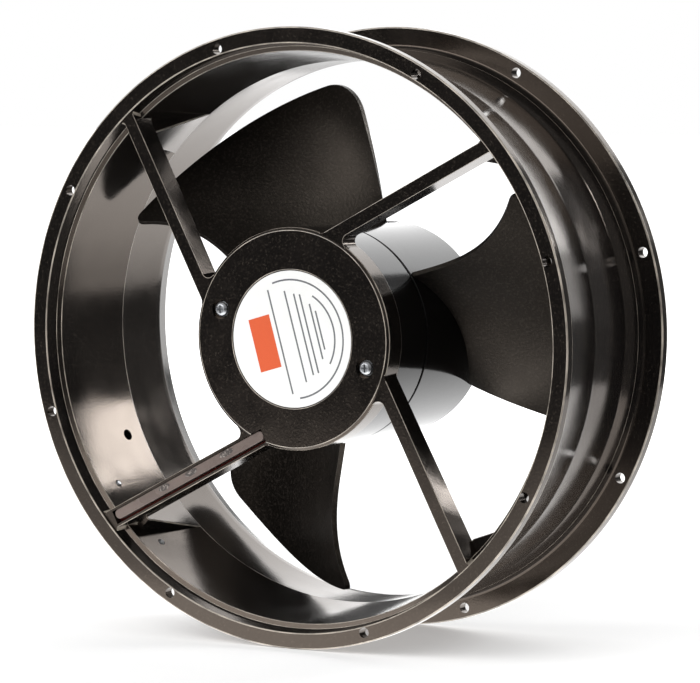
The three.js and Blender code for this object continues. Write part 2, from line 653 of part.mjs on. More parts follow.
// The throat's and inlet's own air space, which the seat must not fill
function boreSpace() {
  const outline = [
    [0, FRONT_Y],
    [LIP_MOUTH_RADIUS, FRONT_Y],
    [LIP_END_RADIUS, LIP_END_Y],
    [INLET_RADIUS, INLET_START_Y],
    [THROAT_RADIUS, THROAT_START_Y],
    [THROAT_RADIUS, REAR_Y],
    [0, REAR_Y],
  ];
  return revolved(outline, FRAME_SIDES);
}

function seatFacing() {
  const startY = FRONT_Y + FLANGE_THICKNESS;
  const half = SEAT_WIDTH / 2;
  const facing = box(SEAT_FLAT_RADIUS, FAN_DIAMETER, startY, startY + SEAT_LENGTH, -half, half);
  return turned(facing, SEAT_DEGREES);
}

function blockScrewHoles(radius) {
  return [-1, 1].map((side) => {
    const startX = THROAT_RADIUS / 2;
    const outline = circleOutline(radius, (side * BLOCK_SCREW_SPACING) / 2, BLOCK_SCREW_Y, HOLE_SIDES);
    return turned(extrudedAlongX(outline, startX, FAN_DIAMETER / 2), SEAT_DEGREES);
  });
}

function circleOutline(radius, centreAcross, centreUp, sides) {
  return Array.from({ length: sides }, (unused, i) => {
    const angle = (2 * Math.PI * (i + 0.5)) / sides;
    return [centreAcross + radius * Math.cos(angle), centreUp + radius * Math.sin(angle)];
  });
}

function earthHole() {
  const outline = circleOutline(EARTH_HOLE_RADIUS, 0, FRONT_Y + EARTH_HOLE_DEPTH, EARTH_HOLE_SIDES);
  return turned(extrudedAlongX(outline, THROAT_RADIUS / 2, FAN_DIAMETER / 2), EARTH_HOLE_DEGREES);
}

function venturiHousing() {
  const indices = Array.from({ length: STRUT_COUNT }, (unused, index) => index);
  const wedges = joined(...indices.map(gusset));
  const throatCore = disc(THROAT_RADIUS, FRONT_Y - CUT_OVERRUN, REAR_Y, FRAME_SIDES);
  const gussets = wedges.intersect(inletSpace()).subtract(throatCore);
  const struts = joined(...indices.map(strut)).intersect(inletSpace());
  const seat = terminalSeat().subtract(boreSpace());
  const casting = joined(frameBarrel(), seat, gussets, struts, hubPlate());
  const motorSpace = disc(HUB_RADIUS - HUB_WALL, HUB_INNER_Y, HUB_REAR_Y + HUB_HEIGHT);
  const holes = [...boltHoles(), ...motorScrewHoles(), ...blockScrewHoles(BLOCK_SCREW_RADIUS + SEAT_GAP)];
  return cut(casting, motorSpace, seatFacing(), earthHole(), ...leadPassages(), ...holes);
}

// Parts in the frame's hub

function labelDisc() {
  const rearY = LABEL_FLOOR_Y - SEAT_GAP / 2;
  return disc(LABEL_RADIUS, rearY - LABEL_THICKNESS, rearY);
}

function motorScrew(angle) {
  const headY = COUNTERBORE_Y - LOCK_WASHER_THICKNESS - SEAT_GAP;
  const crownRadius = MOTOR_SCREW_HEAD_RADIUS - MOTOR_SCREW_HEAD_HEIGHT / 2;
  const outline = [
    [0, headY - MOTOR_SCREW_HEAD_HEIGHT],
    [crownRadius, headY - MOTOR_SCREW_HEAD_HEIGHT],
    [MOTOR_SCREW_HEAD_RADIUS, headY - MOTOR_SCREW_HEAD_HEIGHT / 2],
    [MOTOR_SCREW_HEAD_RADIUS, headY],
    [MOTOR_SCREW_RADIUS, headY],
    [MOTOR_SCREW_RADIUS, headY + MOTOR_SCREW_LENGTH],
    [0, headY + MOTOR_SCREW_LENGTH],
  ];
  return turned(revolved(outline, HOLE_SIDES).translate([MOTOR_SCREW_CIRCLE_RADIUS, 0, 0]), angle);
}

function lockWasher(angle) {
  const rearY = COUNTERBORE_Y - SEAT_GAP / 2;
  const startY = rearY - LOCK_WASHER_THICKNESS;
  const whole = ring(MOTOR_SCREW_RADIUS + SEAT_GAP, LOCK_WASHER_RADIUS, startY, rearY, HOLE_SIDES);
  const half = LOCK_WASHER_SPLIT / 2;
  const reach = LOCK_WASHER_RADIUS + CUT_OVERRUN;
  const split = box(0, reach, startY - CUT_OVERRUN, rearY + CUT_OVERRUN, -half, half);
  return turned(whole.subtract(split).translate([MOTOR_SCREW_CIRCLE_RADIUS, 0, 0]), angle);
}

// Motor base: spigot in the hub cup, shell flush with the hub, boss for the bearing tube
function motorBase() {
  const shellInner = MOTOR_RADIUS - BASE_WALL;
  const spigotInner = SPIGOT_RADIUS - SPIGOT_WALL;
  const outline = [
    [BASE_BORE_RADIUS - BASE_LIP_WIDTH, BASE_FRONT_Y],
    [SPIGOT_RADIUS, BASE_FRONT_Y],
    [SPIGOT_RADIUS, BASE_SHOULDER_Y],
    [MOTOR_RADIUS, BASE_SHOULDER_Y],
    [MOTOR_RADIUS, BASE_REAR_Y],
    [shellInner, BASE_REAR_Y],
    [shellInner, BASE_SHOULDER_Y + BASE_WALL],
    [spigotInner, BASE_SHOULDER_Y],
    [spigotInner, BASE_INNER_Y],
    [BASE_BOSS_RADIUS, BASE_INNER_Y],
    [BASE_BOSS_RADIUS, BASE_INNER_Y + BASE_BOSS_HEIGHT],
    [BASE_BORE_RADIUS, BASE_INNER_Y + BASE_BOSS_HEIGHT],
    [BASE_BORE_RADIUS, BASE_FRONT_Y + BASE_LIP_THICKNESS],
    [BASE_BORE_RADIUS - BASE_LIP_WIDTH, BASE_FRONT_Y + BASE_LIP_THICKNESS],
  ];
  const startY = BASE_FRONT_Y - CUT_OVERRUN;
  const screwHole = disc(MOTOR_SCREW_RADIUS + SEAT_GAP, startY, BASE_INNER_Y + CUT_OVERRUN, HOLE_SIDES);
  const screwHoles = MOTOR_SCREW_DEGREES.map((angle) => (
    turned(screwHole.translate([MOTOR_SCREW_CIRCLE_RADIUS, 0, 0]), angle)));
  const half = CHANNEL_WIDTH / 2 + SEAT_GAP;
  const notchStart = BASE_BOSS_RADIUS;
  const sides = [STRUT_OFFSET - half, STRUT_OFFSET + half];
  const notch = box(notchStart, HUB_RADIUS, startY, BASE_INNER_Y + CUT_OVERRUN / 2, ...sides);
  return cut(revolved(outline), ...screwHoles, turned(notch, LEAD_STRUT_DEGREES));
}

function bearingTube() {
  const frontSeatEnd = FRONT_BEARING_Y + BEARING_WIDTH / 2 + SEAT_GAP;
  const springSpace = SPRING_WAVE_HEIGHT + SPRING_THICKNESS + 2 * SEAT_GAP;
  const rearSeatStart = REAR_BEARING_Y - BEARING_WIDTH / 2 - springSpace;
  const outline = [
    [BEARING_SEAT_RADIUS, TUBE_FRONT_Y],
    [TUBE_RADIUS, TUBE_FRONT_Y],
    [TUBE_RADIUS, TUBE_REAR_Y],
    [BEARING_SEAT_RADIUS, TUBE_REAR_Y],
    [BEARING_SEAT_RADIUS, rearSeatStart],
    [TUBE_SHOULDER_RADIUS, rearSeatStart],
    [TUBE_SHOULDER_RADIUS, frontSeatEnd],
    [BEARING_SEAT_RADIUS, frontSeatEnd],
  ];
  return revolved(outline, CORE_SIDES);
}

// Ball bearings

function grooveOutline(faceRadius, grooveRadius, backRadius, centreY) {
  const half = BEARING_WIDTH / 2;
  const mouth = BEARING_GROOVE_WIDTH / 2;
  const outline = [
    [backRadius, -half],
    [faceRadius, -half],
    [faceRadius, -mouth],
    [grooveRadius, 0],
    [faceRadius, mouth],
    [faceRadius, half],
    [backRadius, half],
  ];
  return outline.map(([radius, y]) => [radius, centreY + y]);
}

function bearingOuterRing(centreY) {
  const faceRadius = BEARING_OUTER_RACE_RADIUS;
  const grooveRadius = faceRadius + BEARING_GROOVE_DEPTH;
  return revolved(grooveOutline(faceRadius, grooveRadius, BEARING_RADIUS, centreY), SMALL_SIDES);
}

function bearingInnerRing(centreY) {
  const faceRadius = BEARING_INNER_RACE_RADIUS;
  const grooveRadius = faceRadius - BEARING_GROOVE_DEPTH;
  return revolved(grooveOutline(faceRadius, grooveRadius, SHAFT_RADIUS + SEAT_GAP, centreY), SMALL_SIDES);
}

function bearingBalls(centreY) {
  const inner = BALL_CIRCLE_RADIUS - CAGE_THICKNESS / 2;
  const outer = BALL_CIRCLE_RADIUS + CAGE_THICKNESS / 2;
  const cage = ring(inner, outer, centreY - CAGE_WIDTH / 2, centreY + CAGE_WIDTH / 2, SMALL_SIDES);
  const ball = toSolid(new THREE.SphereGeometry(BALL_RADIUS, 6, 4));
  const balls = Array.from({ length: BALL_COUNT }, (unused, i) => (
    turned(ball.translate([BALL_CIRCLE_RADIUS, centreY, 0]), (360 * i) / BALL_COUNT)));
  return joined(cage, ...balls);
}

// Washer with three waves that presses on the rear bearing's outer ring
function waveSpring() {
  const innerRadius = BEARING_OUTER_RACE_RADIUS + SEAT_GAP;
  const outerRadius = BEARING_RADIUS;
  const rearY = REAR_BEARING_Y - BEARING_WIDTH / 2 - SEAT_GAP;
  const steps = SPRING_WAVES * 8;
  const loop = Array.from({ length: steps }, (unused, i) => {
    const angle = (360 * i) / steps;
    const wave = (SPRING_WAVE_HEIGHT / 2) * (1 + Math.cos(radians(angle * SPRING_WAVES)));
    const endY = rearY - wave;
    return [
      pointAt(angle, innerRadius, endY - SPRING_THICKNESS, 0),
      pointAt(angle, outerRadius, endY - SPRING_THICKNESS, 0),
      pointAt(angle, outerRadius, endY, 0),
      pointAt(angle, innerRadius, endY, 0),
    ];
  });
  const points = loop.flat();
  const faces = [];
  for (let row = 0; row < steps; row += 1) {
    const next = (row + 1) % steps;
    for (let i = 0; i < 4; i += 1) {
      const [a, b] = [row * 4 + i, row * 4 + ((i + 1) % 4)];
      const [c, d] = [next * 4 + ((i + 1) % 4), next * 4 + i];
      faces.push(a, b, c, a, c, d);
    }
  }
  const geometry = new THREE.BufferGeometry().setFromPoints(points);
  geometry.setIndex(faces);
  return toSolid(geometry);
}

// Shaft and the parts that hold it at the front bearing

const SHIM_REAR_Y = FRONT_BEARING_Y - BEARING_WIDTH / 2 - SEAT_GAP;
const CLIP_REAR_Y = SHIM_REAR_Y - SHIM_THICKNESS - SEAT_GAP;
const SHAFT_FRONT_Y = CLIP_REAR_Y - CLIP_THICKNESS - SHAFT_FRONT_MARGIN;

function shaft() {
  const grooveRadius = SHAFT_RADIUS - CLIP_GROOVE_DEPTH;
  const grooveStart = CLIP_REAR_Y - CLIP_THICKNESS - SEAT_GAP;
  const rearY = ROTOR_REAR_Y - SHAFT_CHAMFER;
  const outline = [
    [0, SHAFT_FRONT_Y],
    [SHAFT_RADIUS - SHAFT_CHAMFER, SHAFT_FRONT_Y],
    [SHAFT_RADIUS, SHAFT_FRONT_Y + SHAFT_CHAMFER],
    [SHAFT_RADIUS, grooveStart],
    [grooveRadius, grooveStart],
    [grooveRadius, CLIP_REAR_Y + SEAT_GAP],
    [SHAFT_RADIUS, CLIP_REAR_Y + SEAT_GAP],
    [SHAFT_RADIUS, rearY - SHAFT_CHAMFER],
    [SHAFT_RADIUS - SHAFT_CHAMFER, rearY],
    [0, rearY],
  ];
  return revolved(outline, SMALL_SIDES);
}

function retainingClip() {
  const innerRadius = SHAFT_RADIUS - CLIP_GROOVE_DEPTH + SEAT_GAP;
  const startY = CLIP_REAR_Y - CLIP_THICKNESS;
  const whole = ring(innerRadius, CLIP_RADIUS, startY, CLIP_REAR_Y, SMALL_SIDES);
  const reach = CLIP_RADIUS * 2;
  const spread = reach * Math.tan(radians(CLIP_OPENING_DEGREES / 2));
  const wedge = [[0, 0], [reach, -spread], [reach, spread]];
  return whole.subtract(extrudedAlongY(wedge, startY - CUT_OVERRUN, CLIP_REAR_Y + CUT_OVERRUN));
}

function shimWasher() {
  return ring(SHAFT_RADIUS + SEAT_GAP, SHIM_RADIUS, SHIM_REAR_Y - SHIM_THICKNESS, SHIM_REAR_Y, SMALL_SIDES);
}

// Stator

function polar(radius, angle) {
  return [radius * Math.cos(radians(angle)), radius * Math.sin(radians(angle))];
}

// Outline in [x, z] of a star of teeth with pole shoes, drawn in by a margin for the insulators
function statorOutline(margin) {
  const neckHalf = TOOTH_WIDTH / 2 - margin;
  const poleRadius = STATOR_RADIUS - margin;
  const shoeRadius = STATOR_RADIUS - SHOE_THICKNESS;
  const tipRadius = STATOR_RADIUS - SHOE_TIP_THICKNESS;
  const shoeHalf = SHOE_SPAN_DEGREES / 2 - degrees(margin / STATOR_RADIUS);
  const rootHalf = degrees(Math.asin(neckHalf / TOOTH_ROOT_RADIUS));
  const neckAngle = degrees(Math.asin(neckHalf / shoeRadius));
  const halfTooth = [
    [TOOTH_ROOT_RADIUS, rootHalf],
    [shoeRadius, neckAngle],
    [tipRadius, shoeHalf],
    [poleRadius, shoeHalf],
  ];
  const tooth = [
    ...halfTooth.map(([radius, angle]) => [radius, -angle]),
    [poleRadius, 0],
    ...halfTooth.map(([radius, angle]) => [radius, angle]).reverse(),
  ];
  return Array.from({ length: TOOTH_COUNT }, (unused, i) => {
    const centre = (360 * i) / TOOTH_COUNT;
    return tooth.map(([radius, angle]) => polar(radius, centre + angle));
  }).flat();
}

function statorBore(startY, endY) {
  return disc(TUBE_RADIUS + SEAT_GAP, startY - CUT_OVERRUN, endY + CUT_OVERRUN, CORE_SIDES);
}

function statorCore() {
  const star = extrudedAlongY(statorOutline(0), STATOR_FRONT_Y, STATOR_REAR_Y);
  return star.subtract(statorBore(STATOR_FRONT_Y, STATOR_REAR_Y));
}

function statorInsulator(startY) {
  const endY = startY + INSULATOR_THICKNESS;
  return extrudedAlongY(statorOutline(INSULATOR_MARGIN), startY, endY).subtract(statorBore(startY, endY));
}

// Distance of the pole shoes' flat inner side from the axis, less a margin
function coilEndRadius() {
  return Math.sqrt((STATOR_RADIUS - SHOE_THICKNESS) ** 2 - (TOOTH_WIDTH / 2) ** 2) - INSULATOR_MARGIN;
}

function coil(index) {
  const holeHalfWidth = TOOTH_WIDTH / 2 + INSULATOR_MARGIN;
  const insulatedHalf = (STATOR_REAR_Y - STATOR_FRONT_Y) / 2 + SEAT_GAP + INSULATOR_THICKNESS;
  const holeHalfHeight = insulatedHalf + INSULATOR_MARGIN;
  const centreY = (STATOR_FRONT_Y + STATOR_REAR_Y) / 2;
  const outerWidth = holeHalfWidth + COIL_THICKNESS;
  const outerHeight = holeHalfHeight + COIL_THICKNESS;
  const endX = coilEndRadius();
  const outer = roundedRectangle(outerWidth, outerHeight, COIL_CORNER_RADIUS, centreY, 2);
  const hole = rectangle(-holeHalfWidth, holeHalfWidth, centreY - holeHalfHeight, centreY + holeHalfHeight);
  const body = extrudedAlongX(outer, COIL_INNER_RADIUS, endX);
  const opening = extrudedAlongX(hole, COIL_INNER_RADIUS - CUT_OVERRUN, endX + CUT_OVERRUN);
  return turned(body.subtract(opening), (360 * index) / TOOTH_COUNT);
}

function insulatorFrontY() {
  return STATOR_FRONT_Y - SEAT_GAP - INSULATOR_THICKNESS;
}

function thermalProtector() {
  const rearY = insulatorFrontY() - SEAT_GAP;
  const radial = (TUBE_RADIUS + TOOTH_ROOT_RADIUS) / 2;
  const outline = roundedRectangle(PROTECTOR_WIDTH / 2, PROTECTOR_LENGTH / 2, PROTECTOR_WIDTH / 4, 0, 2);
  const placed = outline.map(([across, along]) => [radial + across, along]);
  return turned(extrudedAlongY(placed, rearY - PROTECTOR_HEIGHT, rearY), PROTECTOR_DEGREES);
}

// Rotor

function rotorCup() {
  const cornerSteps = 3;
  const corner = Array.from({ length: cornerSteps + 1 }, (unused, i) => {
    const angle = (90 * i) / cornerSteps;
    const [across, up] = polar(ROTOR_CORNER_RADIUS, 90 - angle);
    return [ROTOR_RADIUS - ROTOR_CORNER_RADIUS + across, ROTOR_REAR_Y - ROTOR_CORNER_RADIUS + up];
  });
  const boreRadius = SHAFT_RADIUS + SEAT_GAP;
  const outline = [
    [boreRadius, ROTOR_REAR_Y],
    ...corner,
    [ROTOR_RADIUS, ROTOR_FRONT_Y],
    [ROTOR_RADIUS - ROTOR_WALL, ROTOR_FRONT_Y],
    [ROTOR_RADIUS - ROTOR_WALL, ROTOR_END_INNER_Y],
    [ROTOR_BOSS_RADIUS, ROTOR_END_INNER_Y],
    [ROTOR_BOSS_RADIUS * 2 / 3, ROTOR_BOSS_Y],
    [boreRadius, ROTOR_BOSS_Y],
  ];
  return revolved(outline);
}

function rotorCore() {
  const outer = ROTOR_CORE_RADIUS;
  const inner = outer - ROTOR_CORE_THICKNESS;
  const startY = STATOR_FRONT_Y - ROTOR_CORE_OVERHANG;
  const endY = STATOR_REAR_Y + ROTOR_CORE_OVERHANG;
  const ringOuter = (inner + outer + CAGE_RING_WIDTH) / 2;
  const ringInner = ringOuter - CAGE_RING_WIDTH;
  const outline = [
    [inner, startY],
    [ringInner, startY],
    [ringInner, startY - CAGE_RING_HEIGHT],
    [ringOuter, startY - CAGE_RING_HEIGHT],
    [ringOuter, startY],
    [outer, startY],
    [outer, endY],
    [ringOuter, endY],
    [ringOuter, endY + CAGE_RING_HEIGHT],
    [ringInner, endY + CAGE_RING_HEIGHT],
    [ringInner, endY],
    [inner, endY],
  ];
  return revolved(outline, CORE_SIDES);
}

// Value at a share of the reach, on the cubic through the four evenly spaced stations
function stationValue(values, reach) {
  const last = values.length - 1;
  return values.reduce((sum, value, i) => {
    const weight = values.reduce((product, unused, j) => (
      j === i ? product : product * (reach * last - j) / (i - j)), 1);
    return sum + value * weight;
  }, 0);
}

// Point of the blade's middle surface at a radius and a share of the way from outlet to inlet edge
function bladePoint(radius, share) {
  const rootRadius = ROTOR_RADIUS + SEAT_GAP;
  const reach = (radius - rootRadius) / (BLADE_TIP_RADIUS - rootRadius);
  const outletAngle = stationValue(BLADE_OUTLET_EDGE_DEGREES, reach);
  const inletAngle = stationValue(BLADE_INLET_EDGE_DEGREES, reach);
  const outletShare = stationValue(BLADE_OUTLET_EDGE_SHARES, reach);
  const inletShare = stationValue(BLADE_INLET_EDGE_SHARES, reach);
  const camberShare = stationValue(BLADE_CAMBER_SHARES, reach);
  const skewShare = stationValue(BLADE_SKEW_SHARES, reach);
  const bow = 4 * share * (1 - share) * (camberShare + skewShare * (2 * share - 1));
  const angle = THREE.MathUtils.lerp(outletAngle, inletAngle, share);
  const axialShare = THREE.MathUtils.lerp(outletShare, inletShare, share) + bow;
  return { angle, y: ROTOR_FRONT_Y + axialShare * ROTOR_LENGTH };
}

// Radius of the tip edge at a share of the chord, drawn in by the rounded tip corners
function bladeEndRadius(share) {
  const span = stationValue(BLADE_INLET_EDGE_DEGREES, 1) - stationValue(BLADE_OUTLET_EDGE_DEGREES, 1);
  const chord = radians(span) * BLADE_TIP_RADIUS;
  const fromOutlet = filletRise(BLADE_OUTLET_CORNER_RADIUS, share * chord);
  const fromInlet = filletRise(BLADE_INLET_CORNER_RADIUS, (1 - share) * chord);
  return BLADE_TIP_RADIUS - fromOutlet - fromInlet;
}

// Columns crowd towards both edges, where the tip corners are
function bladeColumnShare(column) {
  return (1 - Math.cos((Math.PI * column) / (BLADE_COLUMNS - 1))) / 2;
}

// The sheet's thickness lies along its normal within each cylinder, so root and tip keep their radii
function bladeFace(side) {
  const rootRadius = ROTOR_RADIUS + SEAT_GAP;
  return Array.from({ length: BLADE_ROWS }, (unused, row) => (
    Array.from({ length: BLADE_COLUMNS }, (alsoUnused, column) => {
      const share = bladeColumnShare(column);
      const radius = THREE.MathUtils.lerp(rootRadius, bladeEndRadius(share), row / (BLADE_ROWS - 1));
      const centre = bladePoint(radius, share);
      const step = 0.5 / BLADE_COLUMNS;
      const before = bladePoint(radius, share - step);
      const after = bladePoint(radius, share + step);
      const around = radians(after.angle - before.angle) * radius;
      const along = new THREE.Vector2(around, after.y - before.y).normalize();
      const push = (side * BLADE_THICKNESS) / 2;
      const angle = centre.angle + degrees((push * along.y) / radius);
      return pointAt(angle, radius, centre.y - push * along.x, 0);
    })));
}

function blade(index) {
  return turned(sheetSolid(bladeFace(1), bladeFace(-1)), (-360 * index) / BLADE_COUNT);
}

// Terminal block

function terminalBlock() {
  const half = BLOCK_WIDTH / 2;
  const topX = BLOCK_FOOT_RADIUS + BLOCK_HEIGHT;
  const body = extrudedAlongY([
    [BLOCK_FOOT_RADIUS, -half],
    [BLOCK_FOOT_RADIUS, half],
    [topX - BLOCK_CHAMFER, half],
    [topX, half - BLOCK_CHAMFER],
    [topX, -half + BLOCK_CHAMFER],
    [topX - BLOCK_CHAMFER, -half],
  ], BLOCK_FRONT_Y, BLOCK_REAR_Y);
  const earOutline = roundedRectangle(EAR_SPAN / 2, EAR_LENGTH / 2, EAR_LENGTH / 3, BLOCK_SCREW_Y, 2);
  const ears = extrudedAlongX(earOutline, BLOCK_FOOT_RADIUS, BLOCK_FOOT_RADIUS + EAR_THICKNESS);
  const pocketHalf = POCKET_WIDTH / 2;
  const pocketStartX = BLOCK_FOOT_RADIUS - CUT_OVERRUN;
  const pocketEndX = BLOCK_FOOT_RADIUS + POCKET_HEIGHT;
  const pocketStartY = BLOCK_FRONT_Y - CUT_OVERRUN;
  const pocket = box(pocketStartX, pocketEndX, pocketStartY, POCKET_REAR_Y, -pocketHalf, pocketHalf);
  const slots = [-1, 1].map((side) => {
    const centre = (side * TAB_SPACING) / 2;
    const slotHalf = TAB_WIDTH / 2 + SEAT_GAP;
    const startX = TAB_RADIUS - TAB_THICKNESS / 2 - SEAT_GAP;
    const endX = TAB_RADIUS + TAB_THICKNESS / 2 + SEAT_GAP;
    const sides = [centre - slotHalf, centre + slotHalf];
    return box(startX, endX, POCKET_REAR_Y - SEAT_GAP, BLOCK_REAR_Y + CUT_OVERRUN, ...sides);
  });
  const placed = turned(cut(joined(body, ears), pocket, ...slots), SEAT_DEGREES);
  return cut(placed, ...blockScrewHoles(BLOCK_SCREW_RADIUS + SEAT_GAP));
}

function terminalTab(side) {
  const half = TAB_WIDTH / 2;
  const endY = BLOCK_REAR_Y + TAB_REACH;
  const centre = (side * TAB_SPACING) / 2;
  const outline = [
    [-half, POCKET_REAR_Y],
    [half, POCKET_REAR_Y],
    [half, endY - TAB_TIP_CHAMFER],
    [half - TAB_TIP_CHAMFER, endY],
    [-half + TAB_TIP_CHAMFER, endY],
    [-half, endY - TAB_TIP_CHAMFER],
  ].map(([across, y]) => [centre + across, y]);
  const startX = TAB_RADIUS - TAB_THICKNESS / 2;
  const endX = TAB_RADIUS + TAB_THICKNESS / 2;
  const hole = circleOutline(TAB_HOLE_RADIUS, centre, endY - TAB_REACH / 2, HOLE_SIDES);
  const punch = extrudedAlongX(hole, startX - CUT_OVERRUN, endX + CUT_OVERRUN);
  return turned(extrudedAlongX(outline, startX, endX).subtract(punch), SEAT_DEGREES);
}

// Built along the axis, then laid on the seat's radial direction
function blockScrew(side) {
  const headStart = EAR_THICKNESS + SEAT_GAP / 2;
  const outline = [
    [0, headStart + BLOCK_SCREW_HEAD_HEIGHT],
    [BLOCK_SCREW_HEAD_RADIUS / 2, headStart + BLOCK_SCREW_HEAD_HEIGHT],
    [BLOCK_SCREW_HEAD_RADIUS, headStart + BLOCK_SCREW_HEAD_HEIGHT / 2],
    [BLOCK_SCREW_HEAD_RADIUS, headStart],
    [BLOCK_SCREW_RADIUS, headStart],
    [BLOCK_SCREW_RADIUS, headStart - BLOCK_SCREW_REACH],
    [0, headStart - BLOCK_SCREW_REACH],
  ];
  const upright = revolved(outline, HOLE_SIDES);
  const place = [BLOCK_FOOT_RADIUS, BLOCK_SCREW_Y, (side * BLOCK_SCREW_SPACING) / 2];
  return turned(upright.rotate([0, 0, -90]).translate(place), SEAT_DEGREES);
}

// Leads from the winding, through the hub and the wide strut, into the terminal block
function leadRoute(side, motorEnd) {
  const across = STRUT_OFFSET + (side * LEAD_SPACING) / 2;
  const strutPoint = (along, y) => pointAt(LEAD_STRUT_DEGREES, along, y, across);
  const lean = radians(ROOT_LEAN_DEGREES);
  const pocketRadial = BLOCK_FOOT_RADIUS + POCKET_HEIGHT / 2;
  const pocketAlong = (pocketRadial - across * Math.sin(lean)) / Math.cos(lean);
  const bendRadius = SPIGOT_RADIUS - SPIGOT_WALL - LEAD_BEND;
  const notchAlong = Math.sqrt(bendRadius ** 2 - STRUT_OFFSET ** 2);
  const tabAcross = (side * TAB_SPACING) / 2;
  return [
    motorEnd,
    motorEnd.clone().add(new THREE.Vector3(0, -LEAD_RISE, 0)),
    strutPoint(notchAlong - LEAD_SPACING, BASE_INNER_Y + LEAD_RISE),
    strutPoint(notchAlong, BASE_INNER_Y),
    strutPoint(notchAlong + LEAD_RISE, LEAD_Y),
    strutPoint(HUB_CROSSING, LEAD_Y),
    strutPoint((HUB_CROSSING + RIM_CROSSING) / 2, LEAD_Y),
    strutPoint(RIM_CROSSING, LEAD_Y),
    strutPoint(pocketAlong, LEAD_Y),
    pointAt(SEAT_DEGREES, pocketRadial, POCKET_REAR_Y - SEAT_GAP - LEAD_RADIUS, tabAcross),
  ];
}

function lead(side, motorEnd) {
  const path = new THREE.CatmullRomCurve3(leadRoute(side, motorEnd), false, 'centripetal');
  const outline = circleOutline(LEAD_RADIUS, 0, 0, LEAD_SIDES).map(([x, y]) => new THREE.Vector2(x, y));
  const settings = { steps: LEAD_STEPS, bevelEnabled: false, extrudePath: path };
  return toSolid(new THREE.ExtrudeGeometry(new THREE.Shape(outline), settings));
}

function leadMotorEnds() {
  const coilFrontY = insulatorFrontY() - INSULATOR_MARGIN - COIL_THICKNESS;
  const coilRadial = (COIL_INNER_RADIUS + coilEndRadius()) / 2;
  const protectorFrontY = insulatorFrontY() - SEAT_GAP - PROTECTOR_HEIGHT;
  const protectorRadial = (TUBE_RADIUS + TOOTH_ROOT_RADIUS) / 2;
  return {
    coil: pointAt(270, coilRadial, coilFrontY - SEAT_GAP, 0),
    protector: pointAt(PROTECTOR_DEGREES, protectorRadial, protectorFrontY - SEAT_GAP, 0),
  };
}

// Filler strip that lies on the leads between the walls of the channel
function channelStrip() {
  const half = CHANNEL_WIDTH / 2 - SEAT_GAP;
  const start = CHANNEL_START + STRIP_END_MARGIN;
  const end = CHANNEL_END - STRIP_END_MARGIN;
  const middle = (start + end) / 2;
  const outline = roundedRectangle((end - start) / 2, half, STRIP_END_RADIUS, STRUT_OFFSET, 3);
  const placed = outline.map(([along, across]) => [middle + along, across]);
  const frontY = STRUT_FRONT_Y + STRIP_SINK;
  return turned(extrudedAlongY(placed, frontY, LEAD_Y - LEAD_RADIUS - SEAT_GAP), LEAD_STRUT_DEGREES);
}

// Materials
const FINISHES = {
  castBlack: { color: 0x17171a, roughness: 0.32, metalness: 0.1 },
  bladeBlack: { color: 0x1d1c1d, roughness: 0.62, metalness: 0.1 },
  cupBlack: { color: 0x131215, roughness: 0.22, metalness: 0.15 },
  zinc: { color: 0xc9ccd0, roughness: 0.3, metalness: 1 },
  steel: { color: 0xa9abad, roughness: 0.35, metalness: 1 },
  lamination: { color: 0x5b5f66, roughness: 0.55, metalness: 0.9 },
  copper: { color: 0xb26a3c, roughness: 0.4, metalness: 0.9 },
  nylon: { color: 0xd9d4c4, roughness: 0.6, metalness: 0 },
  thermoset: { color: 0x222226, roughness: 0.5, metalness: 0 },
  labelPaper: { color: 0xf4f4f2, roughness: 0.45, metalness: 0 },
  brass: { color: 0xc9a85a, roughness: 0.35, metalness: 1 },
  leadRed: { color: 0x7a2a26, roughness: 0.5, metalness: 0 },
  filler: { color: 0x6a605d, roughness: 0.4, metalness: 0 },
};

const fan = new THREE.Group();
const frameGroup = new THREE.Group();
const rotorGroup = new THREE.Group();
fan.add(frameGroup, rotorGroup);

function addPart(group, name, solid, finish) {
  const mesh = new THREE.Mesh(toGeometry(solid), new THREE.MeshStandardMaterial(FINISHES[finish]));
  mesh.name = name;
  group.add(mesh);
}

addPart(frameGroup, 'venturi_housing', venturiHousing(), 'castBlack');
addPart(frameGroup, 'label_disc', labelDisc(), 'labelPaper');
MOTOR_SCREW_DEGREES.forEach((angle, i) => {
  addPart(frameGroup, `motor_screw_${i + 1}`, motorScrew(angle), 'zinc');
  addPart(frameGroup, `lock_washer_${i + 1}`, lockWasher(angle), 'zinc');
});
addPart(frameGroup, 'motor_base', motorBase(), 'cupBlack');
addPart(frameGroup, 'bearing_tube', bearingTube(), 'steel');
addPart(frameGroup, 'stator_core', statorCore(), 'lamination');
addPart(frameGroup, 'stator_insulator_front', statorInsulator(insulatorFrontY()), 'nylon');
addPart(frameGroup, 'stator_insulator_rear', statorInsulator(STATOR_REAR_Y + SEAT_GAP), 'nylon');
for (let i = 0; i < TOOTH_COUNT; i += 1) addPart(frameGroup, `stator_coil_${i + 1}`, coil(i), 'copper');
addPart(frameGroup, 'thermal_protector', thermalProtector(), 'thermoset');
for (const [place, centreY] of [['front', FRONT_BEARING_Y], ['rear', REAR_BEARING_Y]]) {
  addPart(frameGroup, `${place}_bearing_outer_ring`, bearingOuterRing(centreY), 'steel');
  addPart(frameGroup, `${place}_bearing_balls`, bearingBalls(centreY), 'steel');
  addPart(rotorGroup, `${place}_bearing_inner_ring`, bearingInnerRing(centreY), 'steel');
}
addPart(frameGroup, 'wave_spring', waveSpring(), 'steel');
addPart(frameGroup, 'terminal_block', terminalBlock(), 'thermoset');
[-1, 1].forEach((side, i) => {
  addPart(frameGroup, `terminal_tab_${i + 1}`, terminalTab(side), 'brass');
  addPart(frameGroup, `terminal_screw_${i + 1}`, blockScrew(side), 'zinc');
});
addPart(frameGroup, 'channel_strip', channelStrip(), 'filler');
